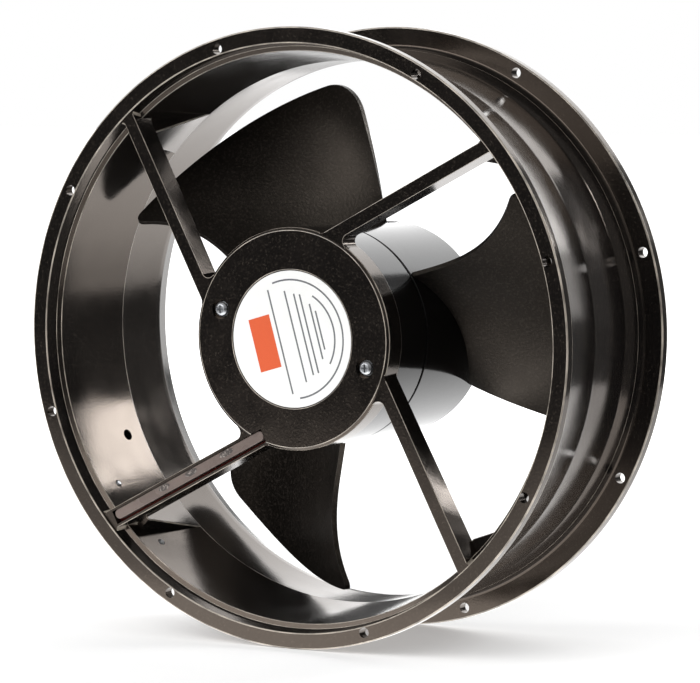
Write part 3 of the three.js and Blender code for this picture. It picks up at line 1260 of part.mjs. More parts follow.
addPart(frameGroup, 'lead_wire_1', lead(-1, leadMotorEnds().coil), 'leadRed');
addPart(frameGroup, 'lead_wire_2', lead(1, leadMotorEnds().protector), 'leadRed');
addPart(rotorGroup, 'rotor_cup', rotorCup(), 'cupBlack');
addPart(rotorGroup, 'rotor_core', rotorCore(), 'lamination');
addPart(rotorGroup, 'shaft', shaft(), 'steel');
addPart(rotorGroup, 'retaining_clip', retainingClip(), 'steel');
addPart(rotorGroup, 'shim_washer', shimWasher(), 'steel');
for (let i = 0; i < BLADE_COUNT; i += 1) addPart(rotorGroup, `blade_${i + 1}`, blade(i), 'bladeBlack');

export default fan;
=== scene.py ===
"""Dressed model of a round axial fan: die cast venturi frame, external rotor motor and three swept blades.

Shapes are given in millimetres and built in metres. The fan's axis is Y, the inlet with the struts faces -Y,
+Z is up, and the origin is the centre of the frame. Angles are seen from the front, from +X towards +Z.
"""

from __future__ import annotations

import logging
import math
from collections.abc import Callable, Iterable, Sequence
from dataclasses import dataclass
from enum import Enum

import bmesh
import bpy
from mathutils import Matrix, Vector

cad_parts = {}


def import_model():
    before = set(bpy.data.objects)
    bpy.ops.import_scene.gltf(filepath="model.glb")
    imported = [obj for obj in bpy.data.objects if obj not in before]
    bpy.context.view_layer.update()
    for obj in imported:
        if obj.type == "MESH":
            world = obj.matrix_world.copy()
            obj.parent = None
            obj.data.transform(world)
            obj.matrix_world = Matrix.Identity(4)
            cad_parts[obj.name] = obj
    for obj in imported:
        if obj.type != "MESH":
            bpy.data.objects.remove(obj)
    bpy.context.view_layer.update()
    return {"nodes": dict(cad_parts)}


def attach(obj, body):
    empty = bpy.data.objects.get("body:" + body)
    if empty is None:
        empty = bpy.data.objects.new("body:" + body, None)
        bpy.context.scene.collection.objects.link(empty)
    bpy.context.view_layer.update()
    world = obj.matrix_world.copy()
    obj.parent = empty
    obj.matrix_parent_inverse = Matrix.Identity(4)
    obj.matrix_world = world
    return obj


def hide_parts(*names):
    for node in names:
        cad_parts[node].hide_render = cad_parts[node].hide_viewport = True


LOG = logging.getLogger("axial_fan")
MM = 0.001
HAIR = 0.001  # millimetres within which two places count as one
CORNER_DEGREES = 60.0  # an edge whose faces meet at more than this is a corner
CRISP_CREASE = 28.0  # degrees past which the shading of cast and turned pieces breaks
OVERRUN = 1.0  # millimetres that a cutting tool reaches past what it cuts
TURNED_STEPS = 144  # divisions of a large turned shape
SMALL_STEPS = 40  # divisions of a small one

Point = tuple[float, float]
Outline = list[Point]
Span = tuple[float, float]
Triple = tuple[float, float, float]
Tree = bpy.types.NodeTree
Node = bpy.types.Node
Socket = bpy.types.NodeSocket
Edge = bmesh.types.BMEdge
Vert = bmesh.types.BMVert
Piece = bpy.types.Object

# Places that more than one part shares, in millimetres and degrees
STRUT_DEGREES = 27.57
LEAD_STRUT = 2
LEAD_DEGREES = STRUT_DEGREES + 90.0 * LEAD_STRUT
SCREW_DEGREES = (162.0, -17.0)
SCREW_CIRCLE = 36.0
SCREW_HOLE = 1.95
BLOCK_DEGREES = -137.58
BLOCK_SCREW_ACROSS = 16.0
BLOCK_SCREW_Y = -27.0
BLOCK_SCREW_HOLE = 1.6
ROTOR_FRONT = -10.2


class Body(Enum):
    """The two bodies that pieces ride on."""

    FRAME = "frame"
    ROTOR = "rotor"


class Side(Enum):
    """The two sides of a strut, a blade or the terminal block."""

    INNER = -1
    OUTER = 1


# Colours and nodes


def linear(code: str) -> tuple[float, float, float, float]:
    """Turns an sRGB hex colour into the linear values that shaders take.

    Args:
        code: The colour as "#rrggbb".

    Returns:
        Linear red, green, blue and an alpha of one.
    """
    parts = [int(code[i : i + 2], 16) / 255 for i in (1, 3, 5)]
    red, green, blue = (p / 12.92 if p <= 0.04045 else ((p + 0.055) / 1.055) ** 2.4 for p in parts)
    return red, green, blue, 1.0


def add_node(
    tree: Tree,
    kind: str,
    options: dict[str, object] | None = None,
    values: dict[str | int, object] | None = None,
    links: dict[str | int, Socket] | None = None,
) -> Node:
    """Adds one shader node with its settings and its incoming links.

    Args:
        tree: The node tree that the node is added to.
        kind: The node's type name.
        options: Settings of the node itself.
        values: Values of its input sockets, by name or number.
        links: Sockets that feed its inputs, by name or number.

    Returns:
        The new node.
    """
    node = tree.nodes.new(kind)
    for key, value in (options or {}).items():
        setattr(node, key, value)
    for key, value in (values or {}).items():
        node.inputs[key].default_value = value
    for key, socket in (links or {}).items():
        tree.links.new(socket, node.inputs[key])
    return node


def between(start: float, end: float, low: float = 0.0, high: float = 1.0) -> dict[str | int, object]:
    """Gives the socket values that turn start to end into low to high."""
    return {"From Min": start, "From Max": end, "To Min": low, "To Max": high}


# Patterns: each is laid over a piece on its Object coordinates and gives a value from about 0 to 1

SMOOTH, EVEN, FINE = 1.0, 2.0, 3.0  # octaves of a noise
MOST: Span = (0.3, 0.7)  # most of a noise's values lie between these
WAVES_PER_METRE = 3.1831  # bands in a metre of a wave texture whose scale is 1


@dataclass(frozen=True)
class Grain:
    """An even noise whose spots lie about one spacing apart, in millimetres."""

    spacing: float
    octaves: float = EVEN
    stretch: Triple | None = None
    kept_share: float = 0.55

    def value(self, tree: Tree, place: Socket) -> Socket:
        """Adds the noise to a material.

        Args:
            tree: The material's node tree.
            place: Object coordinates.

        Returns:
            The noise's value.
        """
        if self.stretch is not None:
            scale = {"Scale": self.stretch}
            place = add_node(tree, "ShaderNodeMapping", values=scale, links={"Vector": place}).outputs[0]
        values = {"Scale": 1 / (self.spacing * MM), "Detail": self.octaves, "Roughness": self.kept_share}
        return add_node(tree, "ShaderNodeTexNoise", values=values, links={"Vector": place}).outputs["Fac"]


@dataclass(frozen=True)
class Sheets:
    """Sheets stacked along the fan's axis, with gaps between them; a sheet's thickness is in millimetres."""

    thickness: float
    gap_share: float = 0.3

    def value(self, tree: Tree, place: Socket) -> Socket:
        """Adds the stack to a material.

        Args:
            tree: The material's node tree.
            place: Object coordinates.

        Returns:
            0 in the gaps and 1 on the sheets.
        """
        options = {"wave_type": "BANDS", "bands_direction": "Y", "wave_profile": "SIN"}
        values = {"Scale": 1 / (self.thickness * MM) / WAVES_PER_METRE, "Distortion": 0.0}
        bands = add_node(tree, "ShaderNodeTexWave", options, values, {"Vector": place}).outputs["Fac"]
        edges = between(0.0, self.gap_share)
        return add_node(tree, "ShaderNodeMapRange", values=edges, links={"Value": bands}).outputs["Result"]


@dataclass(frozen=True)
class Windings:
    """Round wires side by side about the fan's axis; a wire's thickness is in millimetres."""

    wire: float

    def value(self, tree: Tree, place: Socket) -> Socket:
        """Adds the wires to a material.

        Args:
            tree: The material's node tree.
            place: Object coordinates.

        Returns:
            0 between two wires and 1 on top of them.
        """
        off_axis = {1: (1.0, 0.0, 1.0)}
        times, length = {"operation": "MULTIPLY"}, {"operation": "LENGTH"}
        flat = add_node(tree, "ShaderNodeVectorMath", times, off_axis, {0: place}).outputs[0]
        radius = add_node(tree, "ShaderNodeVectorMath", length, links={0: flat}).outputs["Value"]
        wires = {1: math.tau / (self.wire * MM)}
        turns = add_node(tree, "ShaderNodeMath", times, wires, {0: radius}).outputs[0]
        wave = add_node(tree, "ShaderNodeMath", {"operation": "SINE"}, links={0: turns}).outputs[0]
        height = add_node(tree, "ShaderNodeMapRange", values=between(-1.0, 1.0), links={"Value": wave})
        return height.outputs["Result"]


@dataclass(frozen=True)
class Mark:
    """One pattern on a surface and what it changes there.

    The colours are mixed by the pattern's value, or within a span of it. The roughness goes from the first
    value of gloss to the second, and depth is the real height of the pattern in millimetres.
    """

    pattern: Grain | Sheets | Windings
    colours: tuple[str, str] | None = None
    span: Span | None = None
    gloss: Span | None = None
    depth: float = 0.0

    def lay(self, tree: Tree, shader: Node, place: Socket) -> None:
        """Lets the pattern feed a shader's colour, roughness and normal, over what feeds the normal already.

        Args:
            tree: The material's node tree.
            shader: The principled shader.
            place: Object coordinates.
        """
        value = self.pattern.value(tree, place)
        from_pattern = {"Value": value}
        if self.colours is not None:
            share = value
            if self.span is not None:
                change = add_node(tree, "ShaderNodeMapRange", values=between(*self.span), links=from_pattern)
                share = change.outputs["Result"]
            colours = {6: linear(self.colours[0]), 7: linear(self.colours[1])}
            options = {"data_type": "RGBA", "blend_type": "MIX"}
            mixed = add_node(tree, "ShaderNodeMix", options, colours, {0: share}).outputs[2]
            tree.links.new(mixed, shader.inputs["Base Color"])
        if self.gloss is not None:
            values = between(*MOST, *self.gloss)
            rough = add_node(tree, "ShaderNodeMapRange", values=values, links=from_pattern)
            tree.links.new(rough.outputs["Result"], shader.inputs["Roughness"])
        if self.depth > 0:
            links = {"Height": value}
            for below in shader.inputs["Normal"].links:
                links["Normal"] = below.from_socket
            values = {"Strength": 1.0, "Distance": self.depth * MM}
            bump = add_node(tree, "ShaderNodeBump", values=values, links=links)
            tree.links.new(bump.outputs["Normal"], shader.inputs["Normal"])


# Finishes


@dataclass(frozen=True)
class Finish:
    """A surface finish: a principled shader, and the marks that a subclass lays over it."""

    title: str = "plain_finish"
    colour: str = "#808080"
    roughness: float = 0.5
    metallic: float = 0.0
    ior: float = 1.5
    sheen_tint: str = "#ffffff"

    def marks(self) -> list[Mark]:
        """Lists the finish's marks, lowest first; the plain finish has none."""
        return []

    def material(self) -> bpy.types.Material:
        """Gives the finish's material.

        Returns:
            The material, made on first use.
        """
        found = bpy.data.materials.get(self.title)
        if found is not None:
            return found
        made = bpy.data.materials.new(self.title)
        made.use_nodes = True
        tree = made.node_tree
        tree.nodes.clear()
        values = {
            "Base Color": linear(self.colour),
            "Roughness": self.roughness,
            "Metallic": self.metallic,
            "IOR": self.ior,
            "Specular Tint": linear(self.sheen_tint),
        }
        shader = add_node(tree, "ShaderNodeBsdfPrincipled", values=values)
        place = add_node(tree, "ShaderNodeTexCoord").outputs["Object"]
        for mark in self.marks():
            mark.lay(tree, shader, place)
        add_node(tree, "ShaderNodeOutputMaterial", links={"Surface": shader.outputs["BSDF"]})
        return made


@dataclass(frozen=True)
class CastPaint(Finish):
    """Semi-gloss black enamel sprayed on an aluminium die casting.

    The casting's fine pebbled skin shows through the thin paint, and its lighter tops are also a painted
    glint highlight; the paint pools a little, so broad reflections waver.
    """

    title: str = "cast_black_enamel"
    colour: str = "#0e0d0d"
    # lighter pebble tops: thin paint, and partly a painted glint highlight
    thin_paint_and_glint_colour: str = "#2e2a26"
    thin_paint_and_glint_span: Span = (0.54, 0.7)
    roughness: float = 0.13
    gloss: Span = (0.1, 0.17)
    ior: float = 1.7
    sheen_tint: str = "#ffe9d6"
    grain_spacing: float = 0.95  # the real skin is about 0.6 mm; drawn coarser so that it shows
    grain_depth: float = 0.02
    pool_spacing: float = 14.0
    pool_depth: float = 0.04

    def marks(self) -> list[Mark]:
        """Lists the pooled paint, and the pebbled skin with its greyer tops, partly thin paint and partly a
        painted glint.

        Returns:
            The marks, lowest first.
        """
        pebble = Grain(self.grain_spacing, FINE)
        return [
            Mark(Grain(self.pool_spacing, SMOOTH), gloss=self.gloss, depth=self.pool_depth),
            Mark(pebble, (self.colour, self.thin_paint_and_glint_colour), self.thin_paint_and_glint_span, depth=self.grain_depth),
        ]


@dataclass(frozen=True)
class PaintedEdgeHighlight(Finish):
    """A painted highlight on sharp edges: a thin light grey brown line that stands in for edges catching the
    light.
    """

    title: str = "painted_highlight_on_casting_edges"
    # the light colour of the line is a painted highlight, not the metal's own colour
    colour: str = "#c4b9ab"
    roughness: float = 0.3
    ior: float = 1.7
    dim_highlight_colour: str = "#5a534b"
    highlight_break_spacing: float = 9.0
    highlight_break_octaves: float = 5.0

    def marks(self) -> list[Mark]:
        """Lists the brighter and dimmer spots that the painted highlight line breaks up into."""
        return [Mark(Grain(self.highlight_break_spacing, self.highlight_break_octaves), (self.dim_highlight_colour, self.colour), MOST)]


@dataclass(frozen=True)
class MotorPaint(Finish):
    """Gloss black stoving enamel on the turned motor shells: smooth, with faint orange peel."""

    title: str = "motor_gloss_black_enamel"
    colour: str = "#0c0b0b"
    haze_colour: str = "#121111"
    roughness: float = 0.1
    gloss: Span = (0.08, 0.15)
    peel_spacing: float = 5.0
    peel_depth: float = 0.012
    haze_spacing: float = 30.0

    def marks(self) -> list[Mark]:
        """Lists the orange peel and the slightly uneven gloss.

        Returns:
            The marks, lowest first.
        """
        return [
            Mark(Grain(self.peel_spacing, SMOOTH), depth=self.peel_depth),
            Mark(Grain(self.haze_spacing), (self.colour, self.haze_colour), gloss=self.gloss),
        ]


@dataclass(frozen=True)
class BladePaint(Finish):
    """Matte black powder coat on pressed blades: sandy, fine grained, no sharp reflections."""

    title: str = "blade_black_powder_coat"
    colour: str = "#0b0a09"
    top_colour: str = "#292522"
    top_span: Span = (0.5, 0.66)
    roughness: float = 0.4
    gloss: Span = (0.34, 0.44)
    ior: float = 1.52
    sheen_tint: str = "#ffeedd"
    sand_spacing: float = 1.1  # the real sand is about 0.4 mm; drawn coarser so that it shows
    sand_depth: float = 0.1
    patch_spacing: float = 22.0

    def marks(self) -> list[Mark]:
        """Lists the sand with its lighter tops, and broad patches of thinner coat.

        Returns:
            The marks, lowest first.
        """
        sand = Grain(self.sand_spacing, FINE)
        return [
            Mark(sand, (self.colour, self.top_colour), self.top_span, depth=self.sand_depth),
            Mark(Grain(self.patch_spacing), gloss=self.gloss),
        ]


@dataclass(frozen=True)
class LabelFilm(Finish):
    """White polyester label film with a satin face and very slight mottling."""

    title: str = "label_white_film"
    colour: str = "#f1f1ef"
    mottle_colour: str = "#e9e9e8"
    roughness: float = 0.38
    mottle_spacing: float = 6.0
    wave_depth: float = 0.02

    def marks(self) -> list[Mark]:
        """Lists the mottled white, which waves a little over the adhesive behind."""
        mottle = Grain(self.mottle_spacing, FINE)
        return [Mark(mottle, (self.colour, self.mottle_colour), depth=self.wave_depth)]


@dataclass(frozen=True)
class PrintInk(Finish):
    """Screen printed ink on the label: solid colour, a trace darker where the screen's mesh lay."""

    title: str = "label_ink"
    shade: str = "#606060"
    roughness: float = 0.42
    mesh_spacing: float = 0.5

    def marks(self) -> list[Mark]:
        """Lists the fine unevenness of the ink film."""
        return [Mark(Grain(self.mesh_spacing), (self.colour, self.shade))]


@dataclass(frozen=True)
class ZincPlate(Finish):
    """Bright zinc plate on steel screws and washers: silvery, with cloudy clear passivation."""

    title: str = "zinc_plated_steel"
    colour: str = "#cfd1d3"
    cloud_colour: str = "#a9abb0"
    roughness: float = 0.28
    gloss: Span = (0.2, 0.42)
    metallic: float = 1.0
    cloud_spacing: float = 1.6
    tool_depth: float = 0.02

    def marks(self) -> list[Mark]:
        """Lists the clouds, with the shallow tool marks under them."""
        cloud = Grain(self.cloud_spacing, FINE)
        return [Mark(cloud, (self.colour, self.cloud_colour), gloss=self.gloss, depth=self.tool_depth)]


@dataclass(frozen=True)
class GroundSteel(Finish):
    """Ground bearing and shaft steel: fine grinding lines that run round the axis."""

    title: str = "ground_bearing_steel"
    colour: str = "#b9bbbd"
    line_colour: str = "#8e9093"
    roughness: float = 0.26
    gloss: Span = (0.2, 0.36)
    metallic: float = 1.0
    line_spacing: float = 0.8
    line_stretch: Triple = (0.15, 1.0, 0.15)
    line_depth: float = 0.008

    def marks(self) -> list[Mark]:
        """Lists the noise drawn out round the axis, as grinding lines."""
        lines = Grain(self.line_spacing, FINE, self.line_stretch)
        return [Mark(lines, (self.colour, self.line_colour), gloss=self.gloss, depth=self.line_depth)]


@dataclass(frozen=True)
class LaminatedSteel(Finish):
    """Stacked electrical sheet, oiled and varnished: thin dark lines across the stack between the sheets."""

    title: str = "laminated_electrical_steel"
    colour: str = "#62656a"
    gap_colour: str = "#2b2c2f"
    roughness: float = 0.45
    gloss: Span = (0.34, 0.55)
    metallic: float = 0.9
    sheet: float = 1.0  # real sheets are 0.5 mm; drawn twice as thick so that they show
    gap_depth: float = 0.03
    oil_spacing: float = 7.0

    def marks(self) -> list[Mark]:
        """Lists the stack along the axis and the mottled oil.

        Returns:
            The marks, lowest first.
        """
        return [
            Mark(Sheets(self.sheet), (self.gap_colour, self.colour), depth=self.gap_depth),
            Mark(Grain(self.oil_spacing), gloss=self.gloss),
        ]


@dataclass(frozen=True)
class EnamelledCopper(Finish):
    """Enamelled magnet wire wound in layers: reddish copper under clear amber varnish."""

    title: str = "enamelled_copper_winding"
    colour: str = "#9c4d26"
    gap_colour: str = "#5b2a16"
    roughness: float = 0.3
    metallic: float = 0.75
    wire: float = 0.9  # real wire is 0.35 mm; drawn coarser so that it shows
    wire_depth: float = 0.12

    def marks(self) -> list[Mark]:
        """Lists the rounded wires, with varnish pooled between them."""
        return [Mark(Windings(self.wire), (self.gap_colour, self.colour), depth=self.wire_depth)]


@dataclass(frozen=True)
class MouldedPlastic(Finish):
    """Injection or compression moulded plastic with a fine spark-eroded skin."""

    title: str = "moulded_plastic"
    second: str = "#303034"
    skin_spacing: float = 0.8
    skin_depth: float = 0.02
    flow_ratio: float = 12.0
    gloss_change: Span = (-0.06, 0.08)

    def marks(self) -> list[Mark]:
        """Lists the mould's skin, and slight flow marks in colour and gloss.

        Returns:
            The marks, lowest first.
        """
        smoother, rougher = (self.roughness + change for change in self.gloss_change)
        flow = Grain(self.skin_spacing * self.flow_ratio)
        return [
            Mark(Grain(self.skin_spacing, FINE), depth=self.skin_depth),
            Mark(flow, (self.colour, self.second), gloss=(smoother, rougher)),
        ]


@dataclass(frozen=True)
class StampedBrass(Finish):
    """Stamped brass strip with rolling lines along its length and a light tarnish."""

    title: str = "stamped_brass"
    colour: str = "#c9a558"
    tarnish_colour: str = "#94723a"
    roughness: float = 0.3
    gloss: Span = (0.22, 0.42)
    metallic: float = 1.0
    line_spacing: float = 0.5
    line_stretch: Triple = (1.0, 0.1, 1.0)
    tarnish_spacing: float = 3.0

    def marks(self) -> list[Mark]:
        """Lists the rolling lines along the axis and the cloudy tarnish.

        Returns:
            The marks, lowest first.
        """
        return [
            Mark(Grain(self.line_spacing, FINE, self.line_stretch), gloss=self.gloss),
            Mark(Grain(self.tarnish_spacing, FINE), (self.colour, self.tarnish_colour)),
        ]


@dataclass(frozen=True)
class SpeckledDab(Finish):
    """Thin smears of flecked epoxy that hold the strip: rough, grey on dark brown."""

    title: str = "flecked_epoxy"
    colour: str = "#3f3835"
    fleck_colour: str = "#8b827c"
    fleck_span: Span = (0.52, 0.62)
    roughness: float = 0.5
    fleck_spacing: float = 1.0
    fleck_octaves: float = 4.0
    fleck_depth: float = 0.1

    def marks(self) -> list[Mark]:
        """Lists the pale flecks, which stand up from a dark ground."""
        fleck = Grain(self.fleck_spacing, self.fleck_octaves)
        return [Mark(fleck, (self.colour, self.fleck_colour), self.fleck_span, depth=self.fleck_depth)]


FRAME_PAINT = CastPaint()
# painted highlights on the sharp edges of the frame casting and of the blades
FRAME_EDGE_HIGHLIGHT = PaintedEdgeHighlight()
MOTOR_PAINT = MotorPaint()
BLADE_PAINT = BladePaint()
BLADE_EDGE_HIGHLIGHT = PaintedEdgeHighlight("painted_highlight_on_blade_edges", "#4b453f", 0.45, dim_highlight_colour="#1c1a19")
LABEL_FILM = LabelFilm()
ORANGE_INK = PrintInk("label_orange_ink", "#dc5c2e", shade="#d45528")
GREY_INK = PrintInk("label_grey_ink", "#707275", shade="#626468")
ZINC = ZincPlate()
STEEL = GroundSteel()
LAMINATION = LaminatedSteel()
COPPER = EnamelledCopper()
NYLON = MouldedPlastic("natural_nylon", "#dcd6c5", 0.5, second="#cfc7b2")
THERMOSET = MouldedPlastic("black_phenolic", "#232326", 0.45, second="#2e2e31", skin_spacing=1.0)
BRASS = StampedBrass()
FILLER = MouldedPlastic("grey_brown_filler", "#5d524e", 0.3, second="#74665f", skin_depth=0.05)
DAB = SpeckledDab()
SILICONE = MouldedPlastic("lead_silicone_rubber", "#7c2a24", 0.5, second="#8c352d")


# Shapes

CORNER_SHARE = 0.49  # the most of a side that the rounding of one corner may take


def at_angle(radius: float, y: float, degrees: float) -> Vector:
    """Gives the point at a radius and an angle about the fan's axis, in millimetres."""
    turn = math.radians(degrees)
    return Vector((radius * math.cos(turn), y, radius * math.sin(turn)))


def turned(degrees: float) -> Matrix:
    """Gives the turn about the fan's axis that carries the +X side to an angle seen from the front."""
    return Matrix.Rotation(-math.radians(degrees), 4, "Y")


def leg(slant: float, other: float) -> float:
    """Gives the third side of a right triangle from its longest side and another one."""
    return math.sqrt(slant**2 - other**2)


def corner_arc(before: Point, corner: Point, after: Point, radius: float, steps: int) -> Outline:
    """Rounds one corner of an outline.

    Args:
        before: The point before the corner.
        corner: The sharp corner.
        after: The point after the corner.
        radius: Radius of the rounding.
        steps: Pieces that the arc is divided into.

    Returns:
        The points of the arc, or the corner itself where there is no radius.
    """
    if radius <= 0:
        return [corner]
    here, back, ahead = Vector(corner), Vector(before), Vector(after)
    to_back, to_ahead = (back - here).normalized(), (ahead - here).normalized()
    half = to_back.angle(to_ahead) / 2
    longest = min((back - here).length, (ahead - here).length) * CORNER_SHARE
    reach = min(radius / math.tan(half), longest)
    rounding = reach * math.tan(half)
    centre = here + (to_back + to_ahead).normalized() * (rounding / math.sin(half))
    start, end = here + to_back * reach - centre, here + to_ahead * reach - centre
    sweep = start.angle_signed(end) if start.length > 0 else 0.0
    points = []
    for i in range(steps + 1):
        arm = start.copy()
        arm.rotate(Matrix.Rotation(-sweep * i / steps, 2))
        points.append((centre.x + arm.x, centre.y + arm.y))
    return points


def rounded(corners: Sequence[Triple], steps: int = 4, closed: bool = True) -> Outline:
    """Rounds the corners of an outline.

    Args:
        corners: Points, each with the radius of its rounding last.
        steps: Pieces that each arc is divided into.
        closed: Whether the last point joins the first.

    Returns:
        The rounded outline.
    """
    count = len(corners)
    outline: Outline = []
    for i, (x, y, radius) in enumerate(corners):
        end = not closed and i in (0, count - 1)
        before, after = corners[i - 1][:2], corners[(i + 1) % count][:2]
        outline.extend(corner_arc(before, (x, y), after, 0.0 if end else radius, steps))
    return outline


class Form:
    """A shape under construction in millimetres, made with bmesh operators."""

    def __init__(self) -> None:
        """Starts with nothing."""
        self.bm = bmesh.new()

    def spin(self, outline: Outline, steps: int, closed: bool = True, degrees: float = 360.0) -> Form:
        """Turns an outline of radius and axial place about the fan's axis.

        Args:
            outline: Points of radius and place along the axis.
            steps: Divisions of the turn.
            closed: Whether the outline's last point joins its first.
            degrees: Angle of the turn; a part turn is capped at both ends.

        Returns:
            This form.
        """
        start = [self.bm.verts.new((radius, y, 0.0)) for radius, y in outline]
        edges = [self.bm.edges.new(pair) for pair in zip(start, start[1:])]
        if closed:
            edges.append(self.bm.edges.new((start[-1], start[0])))
        whole = degrees >= 360
        spun = bmesh.ops.spin(
            self.bm,
            geom=start + edges,
            cent=(0, 0, 0),
            axis=(0, -1, 0),
            angle=math.radians(degrees),
            steps=steps,
            use_merge=whole,
            use_duplicate=False,
        )
        if not whole:
            last = [part for part in spun["geom_last"] if isinstance(part, Edge)]
            bmesh.ops.contextual_create(self.bm, geom=edges)
            bmesh.ops.contextual_create(self.bm, geom=last)
        return self.clean()

    def rod(self, radius: float, start: float, end: float, steps: int = 24) -> Form:
        """Adds a solid cylinder on the fan's axis, between two places along it."""
        return self.spin([(0, start), (radius, start), (radius, end), (0, end)], steps, closed=False)

    def pull(self, faces: Iterable[bmesh.types.BMFace]) -> list[Vert]:
        """Extrudes faces, which stay as the other end, and returns the new points, not moved yet."""
        moved = bmesh.ops.extrude_face_region(self.bm, geom=list(faces), use_keep_orig=True)["geom"]
        return [part for part in moved if isinstance(part, Vert)]

    def extrude(self, outline: Outline, start: float, end: float) -> Form:
        """Extrudes a flat outline along Y.

        Args:
            outline: Points of x and z.
            start: Where along Y the shape starts.
            end: Where along Y it ends.

        Returns:
            This form.
        """
        face = self.bm.faces.new([self.bm.verts.new((x, start, z)) for x, z in outline])
        bmesh.ops.translate(self.bm, vec=(0, end - start, 0), verts=self.pull([face]))
        return self.clean()

    def block(self, low: Sequence[float], high: Sequence[float]) -> Form:
        """Adds a box.

        Args:
            low: Its corner with the least coordinates.
            high: The corner across from it.

        Returns:
            This form.
        """
        size = Vector(high) - Vector(low)
        middle = (Vector(high) + Vector(low)) / 2
        matrix = Matrix.Translation(middle) @ Matrix.Diagonal((*size, 1.0))
        bmesh.ops.create_cube(self.bm, size=1.0, matrix=matrix)
        return self

    def sheet(self, columns: int, rows: int, place: Callable[[float, float], Vector]) -> list[Vert]:
        """Adds a grid whose points are put in place by a rule on two shares from 0 to 1.

        Args:
            columns: Divisions along the first share.
            rows: Divisions along the second share.
            place: Gives the point at the two shares.

        Returns:
            The grid's points.
        """
        made = bmesh.ops.create_grid(self.bm, x_segments=columns, y_segments=rows, size=0.5)["verts"]
        for vert in made:
            vert.co = place(vert.co.x + 0.5, vert.co.y + 0.5)
        return made

    def round_edges(
        self, chosen: Iterable[Edge], width: float, segments: int = 3, highlighted: bool = False
    ) -> Form:
        """Bevels edges to a rounding.

        Args:
            chosen: The edges.
            width: Width of the rounding on each side of an edge.
            segments: Strips that the rounding is made of.
            highlighted: Whether the rounding gets the painted edge highlight.

        Returns:
            This form.
        """
        made = bmesh.ops.bevel(
            self.bm,
            geom=list(chosen),
            offset=width,
            offset_type="OFFSET",
            affect="EDGES",
            segments=segments,
            profile=0.5,
            material=-1,
            clamp_overlap=True,
        )
        # the rounding's faces take the second material, the painted edge highlight
        if highlighted:
            for face in made["faces"]:
                face.material_index = 1
        return self

    def paint_edge_highlight(self, narrower: float) -> Form:
        """Gives the painted edge highlight to long faces that are narrower than a width, as in small
        roundings.

        Args:
            narrower: The width.

        Returns:
            This form.
        """
        for face in self.bm.faces:
            around = face.calc_perimeter()
            if around > 4 * narrower and 2 * face.calc_area() / around < narrower:
                face.material_index = 1
        return self

    def edges_where(self, rule: Callable[[Edge], bool]) -> list[Edge]:
        """Returns the edges for which a rule holds."""
        return [edge for edge in self.bm.edges if rule(edge)]

    def edges_within(self, rule: Callable[[Vector], bool]) -> list[Edge]:
        """Returns the edges for both ends of which a rule on a place holds."""
        return self.edges_where(lambda edge: all(rule(vert.co) for vert in edge.verts))

    def sharp_edges(self, degrees: float) -> list[Edge]:
        """Returns the edges whose faces meet at more than an angle."""
        limit = math.radians(degrees)
        return self.edges_where(lambda edge: edge.is_manifold and edge.calc_face_angle(0.0) > limit)

    def move(self, matrix: Matrix) -> Form:
        """Moves the whole form by a matrix in millimetres."""
        bmesh.ops.transform(self.bm, matrix=matrix, verts=self.bm.verts[:])
        return self

    def shift(self, x: float = 0.0, y: float = 0.0, z: float = 0.0) -> Form:
        """Moves the whole form along the axes."""
        return self.move(Matrix.Translation((x, y, z)))

    def turn(self, degrees: float) -> Form:
        """Turns the whole form about the fan's axis."""
        return self.move(turned(degrees))

    def clean(self) -> Form:
        """Merges doubles, drops faces without area and points the rest outwards.

        Returns:
            This form.
        """
        bmesh.ops.remove_doubles(self.bm, verts=self.bm.verts[:], dist=HAIR / 10)
        bmesh.ops.dissolve_degenerate(self.bm, edges=self.bm.edges[:], dist=HAIR / 100)
        bmesh.ops.recalc_face_normals(self.bm, faces=self.bm.faces[:])
        return self

    def add(self, *others: Form) -> Form:
        """Takes in the meshes of other forms.

        Args:
            others: The forms, which are used up.

        Returns:
            This form.
        """
        for other in others:
            mesh = bpy.data.meshes.new("taken_in")
            other.bm.to_mesh(mesh)
            self.bm.from_mesh(mesh)
            bpy.data.meshes.remove(mesh)
            other.bm.free()
        return self

    def cut(self, *tools: Form) -> Form:
        """Cuts closed tool forms out of this closed form.

        Args:
            tools: The tool forms, which are used up.

        Returns:
            This form.
        """
        body = self.loose("cut_body")
        tool = Form().add(*tools).loose("cut_tool")
        modifier = body.modifiers.new("cut", "BOOLEAN")
        modifier.operation = "DIFFERENCE"
        modifier.solver = "EXACT"
        modifier.object = tool
        result = body.evaluated_get(bpy.context.evaluated_depsgraph_get()).to_mesh()
        self.bm = bmesh.new()
        self.bm.from_mesh(result)
        for used in (body, tool):
            mesh = used.data
            bpy.data.objects.remove(used)
            bpy.data.meshes.remove(mesh)
        return self

    def loose(self, name: str) -> Piece:
        """Puts the form, still in its own unit, into a new object and frees it.

        Args:
            name: The object's name.

        Returns:
            The object.
        """
        mesh = bpy.data.meshes.new(name)
        self.bm.to_mesh(mesh)
        self.bm.free()
        made = bpy.data.objects.new(name, mesh)
        bpy.context.scene.collection.objects.link(made)
        return made

